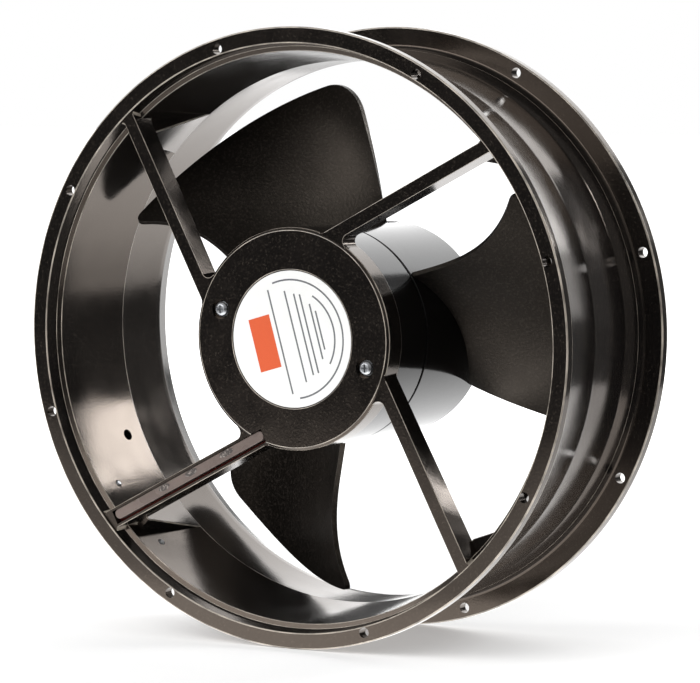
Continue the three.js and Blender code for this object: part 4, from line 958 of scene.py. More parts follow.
    def piece(
        self,
        name: str,
        finish: Finish,
        body: Body,
        slot: str,
        stands_for: Sequence[str] = (),
        crease: float = 32.0,
        edge_highlight: Finish | None = None,
    ) -> Piece:
        """Makes the finished piece.

        Args:
            name: The piece's name.
            finish: Its surface finish.
            body: The body that it rides on.
            slot: The material slot's name; not used.
            stands_for: CAD nodes that it replaces.
            crease: Faces that meet at more than this many degrees keep a sharp edge.
            edge_highlight: The painted highlight on its edges, where they have one.

        Returns:
            The piece, in metres, with its place in its mesh.
        """
        self.move(Matrix.Scale(MM, 4))
        limit = math.radians(crease)
        for face in self.bm.faces:
            face.smooth = True
        for edge in self.bm.edges:
            edge.smooth = len(edge.link_faces) == 2 and edge.calc_face_angle(0.0) < limit
        made = self.loose(name)
        made.data.materials.append(finish.material())
        if edge_highlight is not None:
            made.data.materials.append(edge_highlight.material())
        even = made.modifiers.new("flat_faces_stay_flat", "WEIGHTED_NORMAL")
        even.keep_sharp = True
        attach(made, body.value)
        if stands_for:
            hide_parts(*stands_for)
        LOG.info("%s: %d faces in %s", name, len(made.data.polygons), finish.title)
        return made


# Frame


@dataclass
class VenturiHousing:
    """The die cast frame: barrel with two flanges, four struts on gussets, hub plate and terminal seat."""

    radius: float = 127.0
    half_depth: float = 44.5
    flange: float = 4.7
    flange_rounding: float = 0.6
    lip: Triple = (120.3, 119.2, 6.0)  # radius at the front and at its end, and depth
    inlet_radius: float = 117.2
    inlet_start: float = -37.6
    throat_radius: float = 113.0
    throat: Span = (2.6, 29.0)  # start and end along the axis
    outlet: tuple[float, float, float, float] = (113.2, 32.0, 118.3, 44.5)  # radius and place of bend and rim
    rear_step: Triple = (118.7, 117.5, 3.3)  # radius at the flange and at its end, and depth
    foot_step: float = 1.2
    wall: float = 2.2
    bolt_circle: float = 122.75
    bolt_radius: float = 2.2
    bolt_degrees: float = 16.45
    bolts: int = 8
    strut_offset: float = 29.2
    strut_widths: Span = (5.4, 6.2)  # in front and behind
    strut_front: float = -43.0
    strut_depths: Span = (9.2, 11.2)  # at the hub and at the wall
    strut_roundings: Span = (0.8, 0.35)  # of the outer and the inner front edge
    hub_fillet: float = 3.0
    rim_fillet: float = 1.0
    sunk_in_hub: float = 2.0
    sunk_in_wall: float = 1.2
    lead_extra: float = 2.6
    channel_reach: Span = (30.5, 113.4)  # start and end along the strut
    channel_width: float = 5.8
    channel_floor: float = -36.4
    tunnel_height: float = 3.2
    gusset_radius: float = 110.6
    gusset_front: float = -32.2
    gusset_margin: float = 0.6
    gusset_rear_half: float = 12.4
    gusset_rounding: float = 0.45
    gusset_rim_degrees: float = 30.0
    gusset_grid: tuple[int, int] = (16, 10)
    root_lean: float = 15.7
    hub_radius: float = 45.6
    hub_front: float = -43.5
    hub_depth: float = 10.7
    hub_wall: float = 3.0
    hub_chamfer: Span = (1.2, 1.0)  # inwards and back
    plate_thickness: float = 4.0
    plate_bore: float = 8.0
    recess: Span = (28.4, 0.6)  # radius and depth
    counterbore: Span = (4.05, 2.4)  # radius and depth
    seat_radius: float = 121.0
    seat_size: Span = (44.0, 25.0)  # width, and length along the axis
    seat_rounding: float = 0.5
    seat_overlap: float = 0.2
    seat_inside: float = 0.3
    earth_radius: float = 2.4
    earth_wall: float = 2.0
    earth_boss_radii: Triple = (114.8, 119.4, 120.8)  # of the foot, the hole's end and the top
    earth_degrees: float = -155.6
    earth_y: float = -7.5
    # faces narrower than this get the painted edge highlight
    tool_reach: Span = (95.0, 135.0)
    highlight_width: float = 0.26
    steps: int = 224
    hole_steps: int = 32
    fillet_steps: int = 8

    def inlet_at(self, y: float) -> float:
        """Gives the radius of the inlet's inner wall.

        Args:
            y: Place along the axis.

        Returns:
            The radius there.
        """
        mouth, end, depth = self.lip
        if y < self.inlet_start:
            return mouth + (end - mouth) * min(1.0, max(0.0, (y + self.half_depth) / depth))
        share = min(1.0, (y - self.inlet_start) / (self.throat[0] - self.inlet_start))
        return self.inlet_radius + (self.throat_radius - self.inlet_radius) * share

    def barrel(self) -> Form:
        """Spins the barrel with its lip, cone, throat, flared outlet and both flanges, and cuts its holes.

        Returns:
            The barrel.
        """
        front, rear = -self.half_depth, self.half_depth
        shoulder, rear_shoulder = front + self.flange, rear - self.flange
        mouth, end, depth = self.lip
        bend_radius, bend_y, outlet_radius, outlet_y = self.outlet
        step_outer, step_inner, step_depth = self.rear_step
        outer = self.throat_radius + self.wall
        foot = self.inlet_at(shoulder + self.foot_step) + self.wall
        corners = [
            (mouth, front, 0.5),
            (end, front + depth, 0.3),
            (self.inlet_radius, self.inlet_start, 0.4),
            (self.throat_radius, self.throat[0], 3.5),
            (self.throat_radius, self.throat[1], 20.0),
            (bend_radius, bend_y, 4.0),
            (outlet_radius, outlet_y, 0.4),
            (self.radius, rear, self.flange_rounding),
            (self.radius, rear_shoulder, self.flange_rounding),
            (step_outer, rear_shoulder, 1.2),
            (step_inner, rear_shoulder - step_depth, 2.0),
            (outer, self.throat[1], 8.0),
            (outer, self.throat[0], 20.0),
            (foot, shoulder + self.foot_step, 1.0),
            (foot + self.foot_step, shoulder, 1.0),
            (self.radius, shoulder, self.flange_rounding),
            (self.radius, front, self.flange_rounding),
        ]
        barrel = Form().spin(rounded(corners), self.steps)
        tunnel = self.rim_tunnel(LEAD_DEGREES)
        barrel.cut(*self.bolt_holes(), self.earth_hole(), *self.seat_screw_holes(), tunnel)
        return barrel.paint_edge_highlight(self.highlight_width)

    def bolt_holes(self) -> list[Form]:
        """Makes the tools for the holes in the flanges.

        Returns:
            The tools, first those of the front flange.
        """
        tools = []
        for start in (-self.half_depth, self.half_depth - self.flange):
            for i in range(self.bolts):
                tool = Form().rod(self.bolt_radius, start - OVERRUN, start + self.flange + OVERRUN)
                tools.append(tool.shift(self.bolt_circle).turn(self.bolt_degrees + 360 / self.bolts * i))
        return tools

    def radial(self, outline: Outline, across: float, y: float, degrees: float) -> Form:
        """Spins an outline about a line that runs outwards from the fan's axis.

        Args:
            outline: Points of radius about the line and distance from the fan's axis.
            across: How far the line passes beside the axis.
            y: Its place along the axis.
            degrees: Its angle about the axis.

        Returns:
            The closed form.
        """
        lay = Matrix.Translation((0, y, across)) @ Matrix.Rotation(-math.pi / 2, 4, "Z")
        return Form().spin(outline, self.hole_steps, closed=False).move(lay).turn(degrees)

    def radial_hole(self, radius: float, across: float, y: float, degrees: float) -> Form:
        """Makes a round tool that runs outwards through the barrel's wall; its places are as in radial."""
        start, end = self.tool_reach
        return self.radial([(0, start), (radius, start), (radius, end), (0, end)], across, y, degrees)

    def earth_hole(self) -> Form:
        """Makes the tool for the small hole in the inlet cone."""
        return self.radial_hole(self.earth_radius, 0.0, self.earth_y, self.earth_degrees)

    def earth_boss(self) -> Form:
        """Builds the low boss outside the cone in which the small hole ends.

        Returns:
            The boss.
        """
        foot, floor, top = self.earth_boss_radii
        bore, wide, ease = self.earth_radius, self.earth_radius + self.earth_wall, self.flange_rounding
        bottom = [(0, floor), (bore, floor), (bore, foot), (wide, foot)]
        outline = [*bottom, (wide, top - ease), (wide - ease, top), (0, top)]
        return self.radial(outline, 0.0, self.earth_y, self.earth_degrees)

    def seat_screw_holes(self) -> list[Form]:
        """Makes the tools for the two holes of the terminal block's screws."""
        places = [side.value * BLOCK_SCREW_ACROSS for side in Side]
        return [self.radial_hole(BLOCK_SCREW_HOLE, across, BLOCK_SCREW_Y, BLOCK_DEGREES) for across in places]

    def channel(self) -> Form:
        """Makes the tool for the open channel of the wide strut, which reaches into the hub plate.

        Returns:
            The tool, along +X.
        """
        start, end = self.channel_reach
        half = self.channel_width / 2
        low = (start, self.hub_front - 2 * OVERRUN, self.strut_offset - half)
        return Form().block(low, (end, self.channel_floor, self.strut_offset + half))

    def rim_tunnel(self, degrees: float = 0.0) -> Form:
        """Makes the tool for the leads' way from the channel out through the wall.

        Args:
            degrees: The angle that it is turned by.

        Returns:
            The tool.
        """
        half, start = self.channel_width / 2, self.channel_reach[1] - self.channel_width / 2
        low = (start, self.channel_floor - self.tunnel_height, self.strut_offset - half)
        high = (self.radius + 2 * OVERRUN, self.channel_floor, self.strut_offset + half)
        return Form().block(low, high).turn(degrees)

    def strut_side(self, side: Side, half: float, rim: float) -> Outline:
        """Draws one side of a strut in plan, with its fillets into the hub and the wall.

        Args:
            side: Which side of the strut.
            half: Half of the strut's width.
            rim: Radius of the wall that it runs into.

        Returns:
            Points of distance along and across the strut, from the hub outwards.
        """
        sign = side.value
        edge = self.strut_offset + sign * half
        at_hub, at_rim = edge + sign * self.hub_fillet, edge + sign * self.rim_fillet
        hub = (leg(self.hub_radius + self.hub_fillet, at_hub), at_hub)
        wall = (leg(rim - self.rim_fillet, at_rim), at_rim)
        inward = math.atan2(hub[1], hub[0]) - sign * math.pi
        outward = math.atan2(wall[1], wall[0])
        to_line = -sign * math.pi / 2
        points = []
        bends = ((hub, self.hub_fillet, inward, to_line), (wall, self.rim_fillet, to_line, outward))
        for centre, fillet, start, end in bends:
            for i in range(self.fillet_steps + 1):
                angle = start + (end - start) * i / self.fillet_steps
                points.append((centre[0] + fillet * math.cos(angle), centre[1] + fillet * math.sin(angle)))
        first = tuple(value * (1 - self.sunk_in_hub / self.hub_radius) for value in points[0])
        last = tuple(value * (1 + self.sunk_in_wall / rim) for value in points[-1])
        return [first, *points, last]

    def root_degrees(self, index: int) -> float:
        """Gives the angle of a strut."""
        return STRUT_DEGREES + 90 * index

    def extra_width(self, index: int) -> float:
        """Gives how much wider a strut is than the narrow ones."""
        return self.lead_extra if index == LEAD_STRUT else 0.0

    def strut(self, index: int) -> Form:
        """Builds one strut: its plan outline extruded back with draft, and its front edges rounded.

        Args:
            index: Its number, from 0.

        Returns:
            The strut, in its place.
        """
        front_half, rear_half = ((width + self.extra_width(index)) / 2 for width in self.strut_widths)
        hub_crossing = leg(self.hub_radius, self.strut_offset)
        rim_crossing = leg(self.inlet_radius, self.strut_offset)
        slope = (self.strut_depths[1] - self.strut_depths[0]) / (rim_crossing - hub_crossing)
        rear_y = self.strut_front + self.strut_depths[1]
        plans = []
        for half, rim in ((front_half, self.inlet_at(self.strut_front)), (rear_half, self.inlet_at(rear_y))):
            inner, outer = (self.strut_side(side, half, rim) for side in Side)
            plans.append(inner + outer[::-1])
        form = Form()
        verts = [form.bm.verts.new((along, self.strut_front, across)) for along, across in plans[0]]
        number_at = {vert.co.to_tuple(4): i for i, vert in enumerate(verts)}
        for vert in form.pull([form.bm.faces.new(verts)]):
            along, across = plans[1][number_at[vert.co.to_tuple(4)]]
            depth = self.strut_depths[0] + slope * (along - hub_crossing)
            vert.co = (along, self.strut_front + depth, across)
        form.clean()
        flat = self.strut_front + HAIR
        outer_rounding, inner_rounding = self.strut_roundings
        outer = form.edges_within(lambda at: at.y < flat and at.z > self.strut_offset)
        form.round_edges(outer, outer_rounding, segments=5)
        inner = form.edges_within(lambda at: at.y < flat and at.z < self.strut_offset)
        limit = math.radians(CORNER_DEGREES)
        form.round_edges([edge for edge in inner if edge.calc_face_angle(0.0) > limit], inner_rounding)
        if index == LEAD_STRUT:
            form.cut(self.channel()).cut(self.rim_tunnel())
        return form.paint_edge_highlight(self.highlight_width).turn(self.root_degrees(index))

    def gusset(self, index: int) -> Form:
        """Builds the pad that carries a strut root and widens back to the throat.

        Args:
            index: The strut's number, from 0.

        Returns:
            The pad, in its place.
        """
        front_half = (self.strut_widths[1] + self.extra_width(index)) / 2 + self.gusset_margin

        def on_throat(across_share: float, back_share: float) -> Vector:
            """Gives a point of the pad's face, which widens towards the throat.

            Args:
                across_share: Share of the way across the pad.
                back_share: Share of the way back to the throat.

            Returns:
                The point.
            """
            y = self.gusset_front + (self.throat[0] - self.gusset_front) * back_share
            half = front_half + (self.gusset_rear_half - front_half) * back_share
            across = half * (2 * across_share - 1)
            radius = self.gusset_radius + (self.throat_radius - self.gusset_radius) * back_share
            return Vector((leg(radius, across), y, across))

        form = Form()
        in_front = set(form.sheet(*self.gusset_grid, on_throat))
        for vert in form.pull(form.bm.faces):
            flat = Vector((vert.co.x, 0, vert.co.z))
            scaled = flat * ((self.inlet_at(vert.co.y) + self.wall / 2) / flat.length)
            vert.co = (scaled.x, vert.co.y, scaled.z)
        form.clean()
        in_front = {vert for vert in in_front if vert.is_valid}
        limit = math.radians(self.gusset_rim_degrees)

        def shows(edge: Edge) -> bool:
            """Tells whether an edge is an outer edge of the pad's face.

            Args:
                edge: The edge.

            Returns:
                True for an outer edge that isn't the one at the throat.
            """
            on_face = all(vert in in_front for vert in edge.verts)
            behind = all(vert.co.y > self.throat[0] - HAIR for vert in edge.verts)
            return on_face and not behind and edge.calc_face_angle(0.0) > limit

        form.round_edges(form.edges_where(shows), self.gusset_rounding)
        return form.paint_edge_highlight(self.highlight_width).turn(self.root_degrees(index) + self.root_lean)

    def hub_plate(self) -> Form:
        """Spins the hub plate with its ringed label recess, and cuts the counterbored holes and the channel.

        Returns:
            The plate.
        """
        front = self.hub_front
        inner, rear = front + self.plate_thickness, front + self.hub_depth
        recess_radius, recess_depth = self.recess
        chamfer_in, chamfer_back = self.hub_chamfer
        corners = [
            (self.plate_bore, front + recess_depth, 0.0),
            (recess_radius, front + recess_depth, 0.0),
            (recess_radius, front, 0.25),
            (self.hub_radius - chamfer_in, front, 0.5),
            (self.hub_radius, front + chamfer_back, 0.5),
            (self.hub_radius, rear, 0.3),
            (self.hub_radius - self.hub_wall, rear, 0.3),
            (self.hub_radius - self.hub_wall, inner, 0.8),
            (self.plate_bore, inner, 0.0),
        ]
        plate = Form().spin(rounded(corners), TURNED_STEPS)
        wide, depth = self.counterbore
        start, floor, end = front - 2 * OVERRUN, front + depth, inner + 2 * OVERRUN
        stepped = [(0, start), (wide, start), (wide, floor), (SCREW_HOLE, floor), (SCREW_HOLE, end), (0, end)]
        tools = []
        for degrees in SCREW_DEGREES:
            tools.append(Form().spin(stepped, SMALL_STEPS, closed=False).shift(SCREW_CIRCLE).turn(degrees))
        return plate.cut(*tools, self.channel().turn(LEAD_DEGREES)).paint_edge_highlight(self.highlight_width)

    def terminal_seat(self) -> Form:
        """Builds the flat seat outside the barrel with the two screw holes.

        Returns:
            The seat.
        """
        width, length = self.seat_size
        half, start = width / 2, -self.half_depth + self.flange - self.seat_overlap
        end = start + self.seat_overlap + length
        foot = leg(self.throat_radius + self.wall, half)
        form = Form().block((foot, start, -half), (self.seat_radius, end, half))
        outside = form.edges_within(lambda at: at.x > self.seat_radius - HAIR)
        form.round_edges(outside, self.seat_rounding, segments=2).turn(BLOCK_DEGREES)
        front, rear = start - 2 * OVERRUN, start + length + 2 * OVERRUN
        wall_front, wall_rear = (self.inlet_at(y) + self.seat_inside for y in (front, rear))
        outline = [(0, front), (wall_front, front), (wall_rear, rear), (0, rear)]
        bore = Form().spin(outline, self.steps, closed=False)
        return form.cut(bore).cut(*self.seat_screw_holes(), self.rim_tunnel(LEAD_DEGREES))

    def build(self) -> list[Piece]:
        """Joins the casting's shells.

        Returns:
            The casting, as one piece.
        """
        casting = self.barrel()
        casting.add(*(self.strut(i) for i in range(4)), *(self.gusset(i) for i in range(4)))
        casting.add(self.hub_plate(), self.terminal_seat(), self.earth_boss())
        name, stands_for = "frame_casting", ["venturi_housing"]
        paint = (FRAME_PAINT, Body.FRAME, "frame_paint")
        return [casting.piece(name, *paint, stands_for, CRISP_CREASE, FRAME_EDGE_HIGHLIGHT)]


@dataclass
class HubLabel:
    """The round white film in the hub's recess, with a plain coloured block, straight rules and two arcs.

    Places on the film are across and up in its own directions, which lean by an angle.
    """

    radius: float = 28.0
    front: float = -43.3
    rear: float = -43.0
    film_rounding: float = 0.08
    ink: float = 0.04
    lean: float = 16.0
    line: float = 0.7
    block: tuple[float, float, float, float] = (-12.9, 1.4, 10.2, 22.1)  # middle across and up, width, height
    rules: tuple[Triple, ...] = (  # middle across, lower and upper end
        (-5.6, -21.7, 22.1),
        (2.0, -18.5, 19.8),
        (6.0, -16.5, 17.6),
        (8.6, -16.3, 16.7),
        (12.1, -11.3, 11.8),
        (14.1, -7.8, 8.4),
    )
    arcs: tuple[Triple, ...] = ((20.4, -27.4, 61.5), (24.3, -80.5, 112.6))  # radius, start and end in degrees

    def film(self) -> Piece:
        """Spins the thin disc of film.

        Returns:
            The film.
        """
        rim = [(self.radius, self.front, self.film_rounding), (self.radius, self.rear, 0.0)]
        outline = rounded([(0, self.front, 0), *rim, (0, self.rear, 0)], 2, closed=False)
        form = Form().spin(outline, TURNED_STEPS, closed=False)
        return form.piece("label_film", LABEL_FILM, Body.FRAME, "label_paper", ["label_disc"])

    def bar(self, x: float, z: float, width: float, height: float) -> Form:
        """Makes one flat printed bar.

        Args:
            x: Its middle across the label.
            z: Its middle up the label.
            width: Its size across.
            height: Its size up.

        Returns:
            The bar.
        """
        low = (x - width / 2, self.front - self.ink, z - height / 2)
        high = (x + width / 2, self.front + self.ink, z + height / 2)
        return Form().block(low, high).turn(self.lean)

    def arc(self, radius: float, start: float, end: float) -> Form:
        """Spins one thin printed arc.

        Args:
            radius: Radius of its middle line.
            start: The angle at which it starts, seen from the front.
            end: The angle at which it ends.

        Returns:
            The arc.
        """
        inner, outer = radius - self.line / 2, radius + self.line / 2
        low, high = self.front - self.ink, self.front + self.ink
        outline = [(inner, low), (outer, low), (outer, high), (inner, high)]
        return Form().spin(outline, SMALL_STEPS, degrees=end - start).turn(start)

    def build(self) -> list[Piece]:
        """Builds the film and its print.

        Returns:
            The film, the block, and the rules with the arcs.
        """
        bars = [self.bar(x, (low + high) / 2, self.line, high - low) for x, low, high in self.rules]
        rules = Form().add(*bars, *(self.arc(*arc) for arc in self.arcs))
        block = self.bar(*self.block)
        return [
            self.film(),
            block.piece("label_print_block", ORANGE_INK, Body.FRAME, "label_paper"),
            rules.piece("label_print_rules", GREY_INK, Body.FRAME, "label_paper"),
        ]


@dataclass(frozen=True)
class RecessedScrew:
    """A zinc plated pan head screw with a cross recess, built on the fan's axis and then put in place."""

    head_radius: float
    head_height: float
    shank_radius: float
    length: float
    recess: float
    point: float = 0.5
    crown: Span = (0.62, 0.4)  # share of the radius, and the rounding's share of the height
    rim: Span = (0.5, 0.35)  # share of the height, and the rounding's
    under_rounding: float = 0.12
    arm_share: float = 0.2
    depth_share: float = 0.2
    taper_share: float = 0.45
    cross_degrees: float = 20.0

    def form(self) -> Form:
        """Builds the screw with its head towards -Y and its head's underside at y 0.

        Returns:
            The screw.
        """
        top, radius, shank = -self.head_height, self.head_radius, self.shank_radius
        (crown_share, crown_ease), (rim_share, rim_ease) = self.crown, self.rim
        corners = [
            (0.0, top, 0.0),
            (radius * crown_share, top, self.head_height * crown_ease),
            (radius, top * rim_share, self.head_height * rim_ease),
            (radius, 0.0, self.under_rounding),
            (shank, 0.0, 0.0),
            (shank, self.length - self.point, 0.0),
            (shank - self.point, self.length, 0.0),
            (0.0, self.length, 0.0),
        ]
        screw = Form().spin(rounded(corners, closed=False), SMALL_STEPS, closed=False)
        return screw.cut(self.cross(top))

    def cross(self, top: float) -> Form:
        """Makes the tapered cross shaped tool of the recess.

        Args:
            top: The place of the head's top along the axis.

        Returns:
            The tool.
        """
        arm, half = self.recess, self.recess * self.arm_share
        quarter = [(half, half), (half, arm), (-half, arm)]
        plan = []
        for _turn in range(4):
            plan.extend(quarter)
            quarter = [(-z, x) for x, z in quarter]
        tool = Form().extrude(plan, top - OVERRUN / 2, top * self.depth_share)
        deep = [vert for vert in tool.bm.verts if vert.co.y > top / 2]
        bmesh.ops.scale(tool.bm, vec=(self.taper_share, 1.0, self.taper_share), verts=deep)
        return tool.turn(self.cross_degrees)


@dataclass
class MotorScrews:
    """The two screws in the hub plate, each on a split lock washer."""

    screw: RecessedScrew = RecessedScrew(3.0, 1.9, 1.75, 6.0, 1.9)
    floor: float = -41.1
    washer: Triple = (1.95, 3.2, 0.5)  # inner and outer radius, and thickness
    washer_rounding: float = 0.08
    washer_steps: int = 44
    split_degrees: float = 12.0
    gap: float = 0.1

    def lock_washer(self) -> Form:
        """Spins a washer with a split.

        Returns:
            The washer, on the fan's axis.
        """
        inner, outer, thick = self.washer
        rear = self.floor - self.gap
        outline = [(inner, rear - thick), (outer, rear - thick), (outer, rear), (inner, rear)]
        form = Form().spin(outline, self.washer_steps, degrees=360 - self.split_degrees)
        return form.round_edges(form.sharp_edges(CORNER_DEGREES), self.washer_rounding, segments=1)

    def build(self) -> list[Piece]:
        """Builds both screws and washers.

        Returns:
            The four pieces.
        """
        made = []
        head_y = self.floor - self.washer[2] - 2 * self.gap
        for i, angle in enumerate(SCREW_DEGREES, 1):
            screw = self.screw.form().shift(SCREW_CIRCLE, head_y).turn(angle)
            washer = self.lock_washer().shift(SCREW_CIRCLE).turn(angle)
            zinc = (ZINC, Body.FRAME, "screw_zinc")
            made.append(screw.piece(f"hub_screw_{i}", *zinc, [f"motor_screw_{i}"]))
            made.append(washer.piece(f"split_washer_{i}", *zinc, [f"lock_washer_{i}"]))
        return made


@dataclass
class MotorBase:
    """The motor's fixed front shell: a turned aluminium base flush with the hub."""

    radius: float = 45.3
    front: float = -39.3
    shoulder: float = -32.6
    rear: float = -12.0
    wall: float = 2.5
    spigot: float = 42.4
    spigot_wall: float = 2.8
    floor: float = 4.0
    bore: float = 12.2
    boss: Triple = (13.7, 16.5, 12.3)  # inner and outer radius, and depth
    boss_lip: float = 1.0
    notch: tuple[float, float, float, float] = (16.5, 45.6, 26.0, 32.4)  # start and end along, and across

    def build(self) -> list[Piece]:
        """Spins the shell and cuts the screw holes and the lead notch.

        Returns:
            The shell.
        """
        shell, inner = self.radius - self.wall, self.spigot - self.spigot_wall
        boss_inner, boss_outer, boss_depth = self.boss
        floor, boss_end, lip = self.front + self.floor, self.front + boss_depth, self.front + self.boss_lip
        corners = [
            (self.bore, self.front, 0),
            (self.spigot, self.front, 0.4),
            (self.spigot, self.shoulder, 0),
            (self.radius, self.shoulder, 0.35),
            (self.radius, self.rear, 0.5),
            (shell, self.rear, 0.3),
            (shell, self.shoulder + self.wall, 0),
            (inner, self.shoulder, 0),
            (inner, floor, 0.8),
            (boss_outer, floor, 0.8),
            (boss_outer, boss_end, 0.4),
            (boss_inner, boss_end, 0),
            (boss_inner, lip, 0),
            (self.bore, lip, 0),
        ]
        form = Form().spin(rounded(corners), TURNED_STEPS)
        start, end = self.front - 2 * OVERRUN, floor + 2 * OVERRUN
        holes = [Form().rod(SCREW_HOLE, start, end).shift(SCREW_CIRCLE).turn(at) for at in SCREW_DEGREES]
        notch_start, notch_end, notch_low, notch_high = self.notch
        notch = Form().block((notch_start, start, notch_low), (notch_end, floor + OVERRUN, notch_high))
        form.cut(*holes, notch.turn(LEAD_DEGREES))
        paint = (MOTOR_PAINT, Body.FRAME, "motor_paint")
        return [form.piece("motor_base_shell", *paint, ["motor_base"], CRISP_CREASE)]


@dataclass
class ChannelStrip:
    """The filler strip in the wide strut's channel, held by three flecked smears near its upper edge."""

    start: float = 31.0
    end: float = 112.9
    across: float = 28.5
    half_width: float = 2.15
    end_rounding: float = 2.2
    edge_rounding: float = 0.4
    front: float = -42.6
    rear: float = -38.7
    dabs: tuple[Point, ...] = ((50.8, 7.5), (70.2, 6.5), (85.2, 6.0))  # middle along the strip, and length
    dab_across: float = 27.9
    dab_height: float = 0.3
    dab_half_width: float = 1.3

    def build(self) -> list[Piece]:
        """Builds the strip with rounded ends and the dabs that stand up from it.

        Returns:
            The strip and the dabs.
        """
        low, high = self.across - self.half_width, self.across + self.half_width
        plan = [(self.start, low), (self.end, low), (self.end, high), (self.start, high)]
        corners = [(*corner, self.end_rounding) for corner in plan]
        strip = Form().extrude(rounded(corners, 6), self.front, self.rear)
        face = strip.edges_within(lambda at: at.y < self.front + HAIR)
        strip.round_edges(face, self.edge_rounding).turn(LEAD_DEGREES)
        lumps = Form()
        for middle, length in self.dabs:
            lump = Form()
            bmesh.ops.create_icosphere(lump.bm, subdivisions=4, radius=1.0)
            lump.move(Matrix.Diagonal((length / 2, self.dab_height, self.dab_half_width, 1.0)))
            lumps.add(lump.shift(middle, self.front, self.dab_across))
        lumps.turn(LEAD_DEGREES)
        return [
            strip.piece("channel_filler", FILLER, Body.FRAME, "strip_filler", ["channel_strip"]),
            lumps.piece("channel_dabs", DAB, Body.FRAME, "strip_filler"),
        ]


@dataclass
class TerminalBlock:
    """The moulded block on the barrel's outside seat, with two flat tabs and two screws."""

    foot: float = 121.2
    height: float = 5.2
    width: float = 24.0
    front: float = -39.4
    rear: float = -17.4
    chamfer: float = 1.5
    rounding: float = 0.3
    ear: Triple = (41.0, 9.0, 2.5)  # span of both ears, length and thickness
    ear_rounding: float = 3.0
    ear_overlap: float = 0.5
    pocket: Triple = (16.0, 3.6, 7.5)  # width, height and length
    pocket_overlap: float = 0.5
    slot_gap: float = 0.2
    tab: tuple[float, float, float, float] = (10.0, 4.8, 0.8, 8.0)  # spacing, width, thickness and reach
    tab_chamfer: float = 1.2
    tab_rounding: float = 0.12
    tab_hole: float = 0.8
    screw: RecessedScrew = RecessedScrew(2.5, 1.7, 1.4, 9.4, 1.6)
    screw_gap: float = 0.1

    def moulding(self) -> Piece:
        """Builds the block with its ears, pocket and tab slots.

        Returns:
            The moulding.
        """
        half, top, chamfer = self.width / 2, self.foot + self.height, self.chamfer
        corners = [
            (self.foot, -half, 0.0),
            (self.foot, half, 0.0),
            (top - chamfer, half, 0.4),
            (top, half - chamfer, 0.4),
            (top, -half + chamfer, 0.4),
            (top - chamfer, -half, 0.4),
        ]
        body = Form().extrude(rounded(corners, 3), self.front, self.rear)
        flat_ends = body.edges_where(lambda edge: len({round(vert.co.y, 2) for vert in edge.verts}) == 1)
        body.round_edges(flat_ends, self.rounding, segments=2)
        body.cut(self.pocket_tool(), *(self.slot_tool(side) for side in Side))
        body.add(*(self.ear_form(side) for side in Side)).turn(BLOCK_DEGREES)
        stands_for = ["terminal_block"]
        return body.piece("terminal_moulding", THERMOSET, Body.FRAME, "terminal_thermoset", stands_for)

    def pocket_tool(self) -> Form:
        """Makes the tool for the pocket at the block's foot in which the leads end.

        Returns:
            The tool.
        """
        width, height, length = self.pocket
        low = (self.foot - 2 * OVERRUN, self.front - 2 * OVERRUN, -width / 2)
        return Form().block(low, (self.foot + height, self.front + length, width / 2))

    def slot_tool(self, side: Side) -> Form:
        """Makes the tool for one tab's slot.

        Args:
            side: The tab's side of the block.

        Returns:
            The tool.
        """
        spacing, width, thick, _reach = self.tab
        middle, centre = self.foot + self.height / 2, side.value * spacing / 2
        half_height, half_width = thick / 2 + self.slot_gap, width / 2 + self.slot_gap
        start = self.front + self.pocket[2] - self.pocket_overlap
        low = (middle - half_height, start, centre - half_width)
        return Form().block(low, (middle + half_height, self.rear + 2 * OVERRUN, centre + half_width))

    def ear_form(self, side: Side) -> Form:
        """Builds one rounded ear with its screw hole.

        Args:
            side: The ear's side of the block.

        Returns:
            The ear.
        """
        span, length, thickness = self.ear
        reach, half, inner = span / 2, length / 2, self.width / 2 - self.ear_overlap
        ease = self.ear_rounding
        corners = [(-half, inner, 0.0), (half, inner, 0.0), (half, reach, ease), (-half, reach, ease)]
        ear = Form().extrude(rounded(corners, 6), 0.0, thickness)
        ear.round_edges(ear.edges_within(lambda at: at.y > thickness - HAIR), self.rounding, segments=2)
        hole = Form().rod(BLOCK_SCREW_HOLE, -2 * OVERRUN, thickness + 2 * OVERRUN)
        ear.cut(hole.shift(z=BLOCK_SCREW_ACROSS))
        stand = Matrix.Rotation(-math.pi / 2, 4, "Z")
        mirror = Matrix.Scale(side.value, 4, (0, 0, 1))
        ear.move(Matrix.Translation((self.foot, BLOCK_SCREW_Y, 0)) @ stand @ mirror)
        return ear.clean()

    def tab_form(self, side: Side) -> Form:
        """Builds one flat tab with coined edges, a chamfered tip and a hole.

        Args:
            side: The tab's side of the block.

        Returns:
            The tab, in its place.
        """
        spacing, width, thick, reach = self.tab
        start, end, half = self.front + self.pocket[2], self.rear + reach, width / 2
        nose, corner = end - self.tab_chamfer, half - self.tab_chamfer
        plan = [(start, -half), (nose, -half), (end, -corner), (end, corner), (nose, half), (start, half)]
        form = Form().extrude(plan, -thick / 2, thick / 2)
        form.round_edges(form.sharp_edges(CORNER_DEGREES), self.tab_rounding, segments=2)
        form.cut(Form().rod(self.tab_hole, -OVERRUN, OVERRUN, steps=20).shift(end - reach / 2))
        form.move(Matrix.Rotation(math.pi / 2, 4, "Z"))
        form.shift(self.foot + self.height / 2, z=side.value * spacing / 2)
        return form.turn(BLOCK_DEGREES)

    def screw_form(self, side: Side) -> Form:
        """Builds one screw, head outwards, on an ear of the block.

        Args:
            side: The ear's side of the block.

        Returns:
            The screw, in its place.
        """
        screw = self.screw.form().move(Matrix.Rotation(math.pi / 2, 4, "Z"))
        head = self.foot + self.ear[2] + self.screw_gap
        return screw.shift(head, BLOCK_SCREW_Y, side.value * BLOCK_SCREW_ACROSS).turn(BLOCK_DEGREES)

